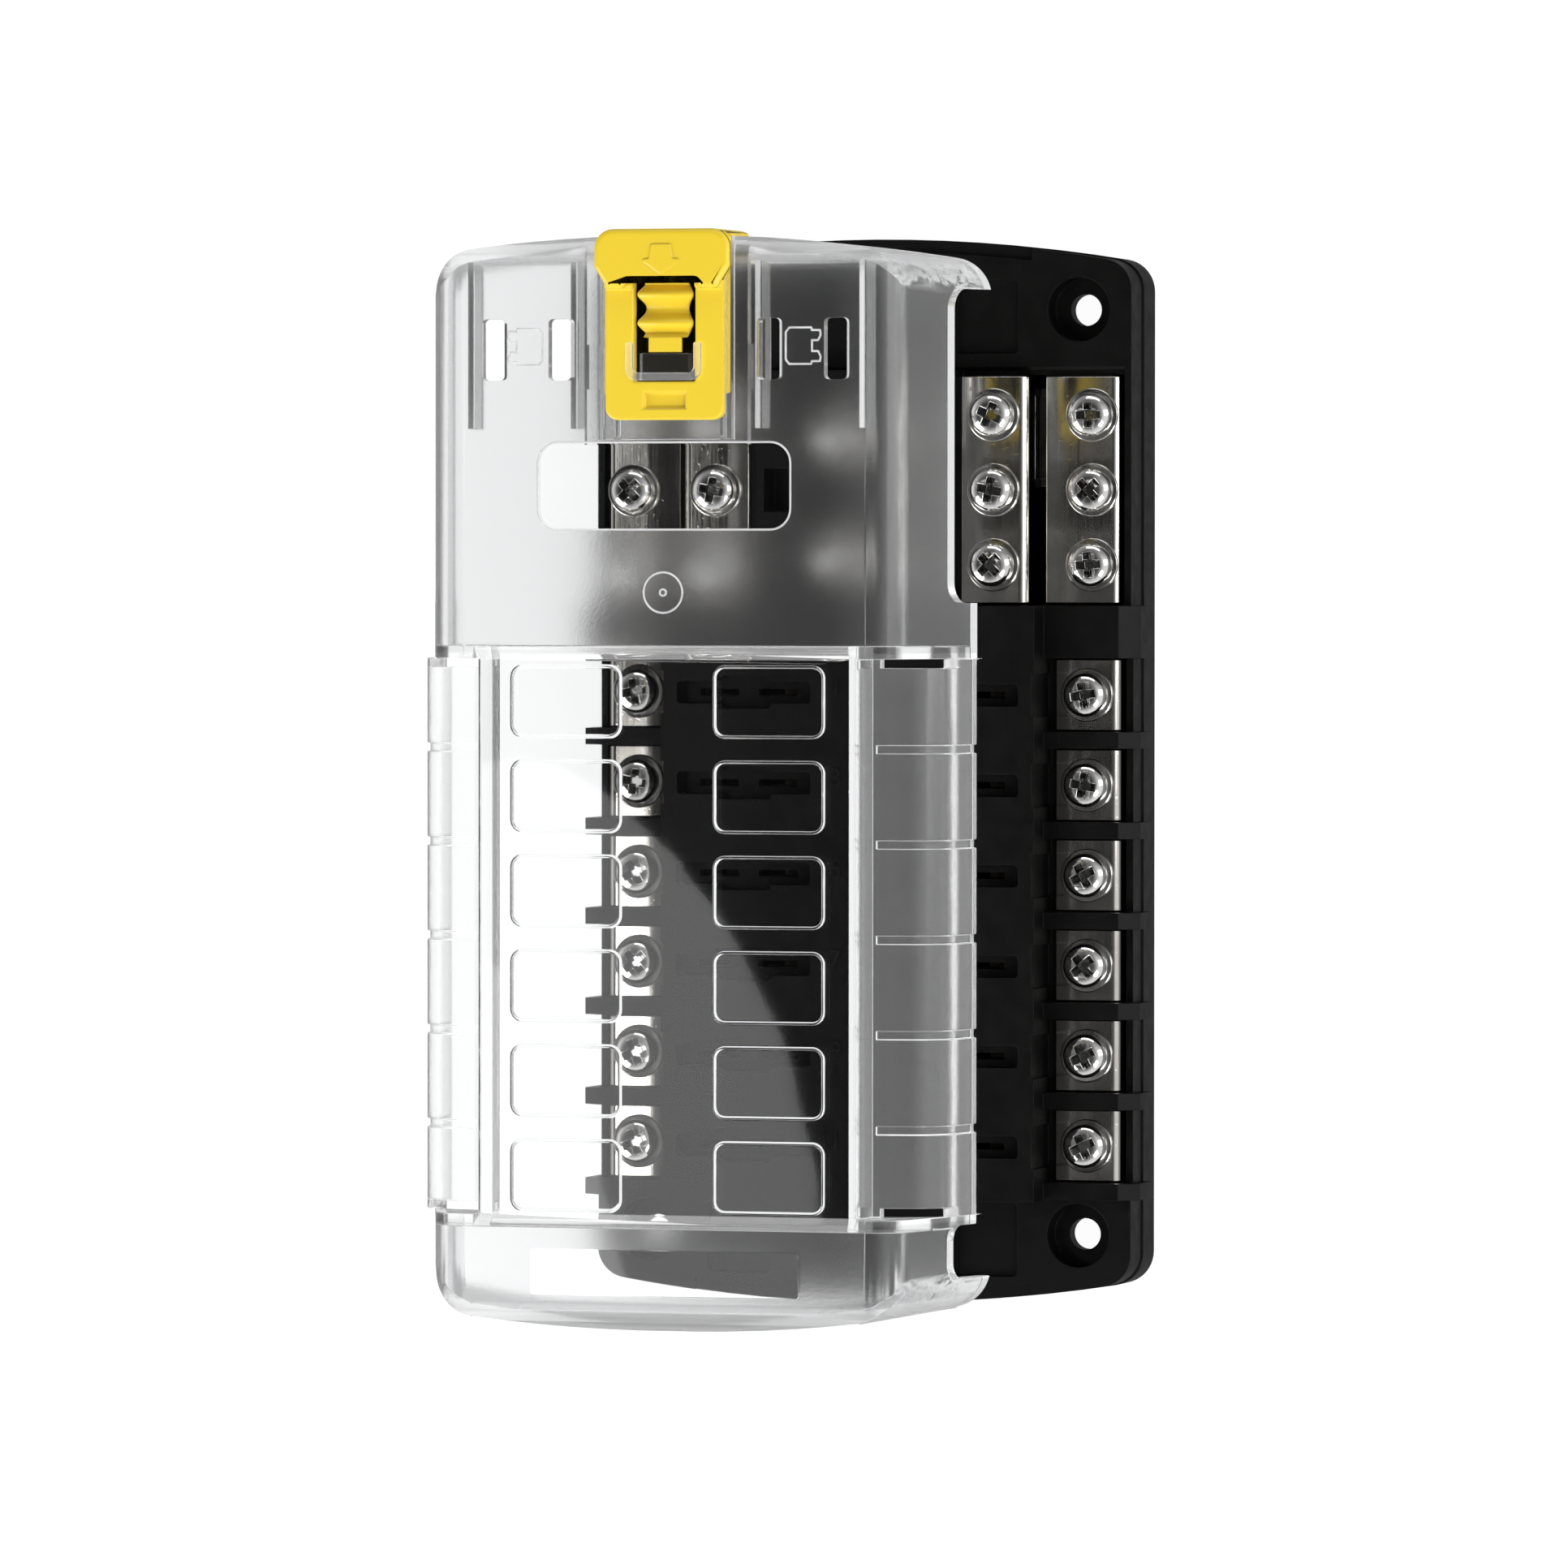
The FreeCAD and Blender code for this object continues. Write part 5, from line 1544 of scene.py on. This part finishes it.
@dataclass(frozen=True)
class Lamp:
    """Soft lamp that the camera does not see, rectangular and aimed at the block, or oval and level."""

    name: str
    place: Triple
    size: Pair
    power: float
    oval: bool = False
    aim: Triple = (0.0, 0.0, 50.0 * MM)

    def hang(self) -> None:
        """Puts the lamp in the scene."""
        light = bpy.data.lights.new(self.name, "AREA")
        light.shape = "ELLIPSE" if self.oval else "RECTANGLE"
        light.size, light.size_y = self.size
        light.energy = self.power
        lamp = new_piece(self.name, light)
        lamp.location = self.place
        if not self.oval:
            turn = (Vector(self.aim) - Vector(self.place)).to_track_quat("-Z", "Y")
            lamp.rotation_euler = turn.to_euler()
        lamp.visible_camera = False
        lamp.visible_transmission = False


@dataclass
class Studio:
    """Plain pale floor, soft lights and the camera."""

    floor_size: float = 6.0
    floor_drop: float = 0.2 * MM
    floor_colours: tuple[Triple, Triple] = ((0.10, 0.10, 0.10), (0.11, 0.11, 0.11))
    floor_clouds: float = 6.0
    floor_roughness: float = 0.9
    floor_specular: float = 0.1
    floor_glow: float = 0.97
    camera_place: Triple = (467.5 * MM, 30.8 * MM, 1633.2 * MM)
    camera_right: Triple = (0.9588, 0.0006, -0.2841)
    camera_up: Triple = (-0.0061, 0.9998, -0.0184)
    camera_back: Triple = (0.2841, 0.0194, 0.9586)
    focal_length: float = 254.72
    sensor_width: float = 36.0
    clip: Pair = (0.01, 50.0)
    dark_direction: Triple = (-0.284, -0.02, 0.958)
    dark_angles: Pair = (64.0, 16.0)
    dark: float = 0.02
    pale: float = 0.85
    shade_range: Pair = (0.15, 0.8)
    shade: float = 0.35
    low_range: Pair = (-0.15, 0.06)
    low_share: float = 0.32
    lamps: tuple[Lamp, ...] = (
        Lamp("left_softbox", (-1.35, -0.95, 0.95), (0.9, 1.1), 22.0),
        Lamp("right_softbox", (1.6, 0.3, 0.75), (0.6, 1.4), 8.0),
        Lamp("top_softbox", (0.1, 1.6, 0.75), (1.4, 0.5), 6.0),
        Lamp("front_softbox", (0.85, -0.75, 1.25), (0.5, 0.5), 11.0),
        Lamp("panel_cloud", (-0.5067, -0.1883, 1.6), (0.194, 0.328), 0.42, oval=True),
        Lamp("panel_glow", (-0.58, -0.215, 1.601), (0.23, 0.33), 0.6, oval=True),
        Lamp("bar_sheen", (-0.64, 0.13, 1.6), (0.22, 0.3), 0.2, oval=True))

    def floor(self) -> None:
        """Lays the pale floor under the block."""
        mesh = bpy.data.meshes.new("floor")
        half, z = self.floor_size / 2, -self.floor_drop
        mesh.from_pydata([(-half, -half, z), (half, -half, z), (half, half, z), (-half, half, z)], [],
                         [(0, 1, 2, 3)])
        floor = new_piece("floor", mesh)
        board = Board("pale_floor")
        mesh.materials.append(board.surface(board.node("ShaderNodeBsdfPrincipled", {
            "Base Color": board.blend_colour(board.noise(self.floor_clouds, detail=3.0), *self.floor_colours),
            "Roughness": self.floor_roughness, "Specular IOR Level": self.floor_specular,
            "Emission Color": (1.0, 1.0, 1.0), "Emission Strength": self.floor_glow})))
        floor.visible_glossy = False

    def world(self) -> None:
        """Soft surroundings: dark where flat metal looks back past the camera, pale round the sides."""
        board = Board("studio", world=True)
        facing = board.node("ShaderNodeVectorMath", {0: board.place, 1: self.dark_direction},
                            operation="DOT_PRODUCT").outputs["Value"]
        start, end = (math.cos(math.radians(angle)) for angle in self.dark_angles)
        strength = board.product(board.ramp(facing, start, end, self.pale, self.dark),
                                 board.ramp(board.axis("Z"), *self.low_range, self.low_share, 1.0),
                                 board.ramp(board.axis("Y"), *self.shade_range, 1.0, self.shade))
        bpy.context.scene.world = board.surface(board.node("ShaderNodeBackground", {
            "Color": (1.0, 1.0, 1.0), "Strength": strength}))

    def camera(self) -> None:
        """Sets the camera at the photograph's angle."""
        data = bpy.data.cameras.new("camera")
        data.lens = self.focal_length
        data.sensor_width = self.sensor_width
        data.clip_start, data.clip_end = self.clip
        camera = new_piece("camera", data)
        columns = Matrix((self.camera_right, self.camera_up, self.camera_back)).transposed()
        turn = columns.to_quaternion().to_matrix().to_4x4()
        camera.matrix_world = Matrix.Translation(Vector(self.camera_place)) @ turn
        bpy.context.scene.camera = camera

    def build(self) -> None:
        """Builds the whole studio."""
        self.floor()
        self.world()
        for lamp in self.lamps:
            lamp.hang()
        self.camera()
        bpy.context.scene.view_settings.view_transform = "Standard"
        LOG.info("studio: floor, lamps and camera are set")


BLACK_PLASTIC = MouldedPlastic(
    "black_moulding", colour=(0.0016, 0.0016, 0.0016), cloud=(0.0024, 0.0023, 0.0022), roughness=0.40,
    roughness_spread=0.10, grain_depth=0.004 * MM, specular=0.15)
YELLOW_PLASTIC = MouldedPlastic(
    "yellow_moulding", colour=(0.82, 0.59, 0.025), cloud=(0.86, 0.63, 0.032), roughness=0.33,
    roughness_spread=0.08, grain_depth=0.004 * MM, specular=0.5, edge_radius=0.3 * MM)
NICKEL_SHEET = PlatedMetal(
    "nickel_sheet", colour=(0.66, 0.64, 0.60), tarnish=(0.52, 0.495, 0.45), roughness=0.085,
    roughness_spread=0.04, line_depth=0.001 * MM, line_stretch=(1.0, 0.03, 1.0), line_scale=5200.0,
    pit_depth=0.003 * MM)
# Bright steel of the screws, with painted shade in their cross recesses.
BRIGHT_STEEL = PlatedMetal(
    "bright_steel", colour=(0.80, 0.795, 0.78), tarnish=(0.68, 0.67, 0.65), roughness=0.09,
    roughness_spread=0.04, line_depth=0.0008 * MM, line_scale=3600.0, pit_depth=0.003 * MM,
    edge_radius=0.05 * MM, hollow_dark=0.6)
WASHER_STEEL = PlatedMetal(
    "washer_steel", colour=(0.52, 0.51, 0.49), tarnish=(0.42, 0.41, 0.39), roughness=0.16,
    roughness_spread=0.06, line_depth=0.0015 * MM, line_scale=4200.0, pit_depth=0.005 * MM)
TINNED_CONTACT = PlatedMetal(
    "tinned_contact", colour=(0.30, 0.27, 0.22), tarnish=(0.20, 0.18, 0.15), roughness=0.34,
    roughness_spread=0.1, line_depth=0.003 * MM)
CLEAR_COVER = ClearPlastic("clear_cover")
COVER_LINE = ClearPlastic("cover_line", line_veil=0.3)
KEEPER = ClearPlastic("keeper", line_veil=0.08)


def main() -> None:
    """Builds every piece in order."""
    logging.basicConfig(level=logging.INFO, format="%(name)s: %(message)s")
    black, yellow = BLACK_PLASTIC.material(), YELLOW_PLASTIC.material()
    sheet, steel, ring = NICKEL_SHEET.material(), BRIGHT_STEEL.material(), WASHER_STEEL.material()
    contact = TINNED_CONTACT.material()
    for node, finish in (("rear_plate", black), ("positive_bus", sheet), ("supply_clips", contact),
                         ("outlet_clips", contact)):
        dress(node, finish)
    repeater, screws = Repeater(), ScrewSet()
    BaseMoulding().build(black)
    rows = FuseRows(repeater)
    rows.terminals(sheet)
    rows.fasteners(screws, steel, ring)
    bus = NegativeBus(repeater)
    bus.bars(sheet)
    bus.fasteners(screws, steel, ring)
    bus.stud("positive_main_stud", "positive_stud", steel)
    bus.stud("negative_main_stud", "negative_stud", steel)
    bus.nuts(ring)
    clear = CLEAR_COVER.material()
    ClearCover().build(clear, COVER_LINE.material())
    PushLatch().build(yellow, KEEPER.material())
    Studio().build()


if __name__ == "__main__":
    main()
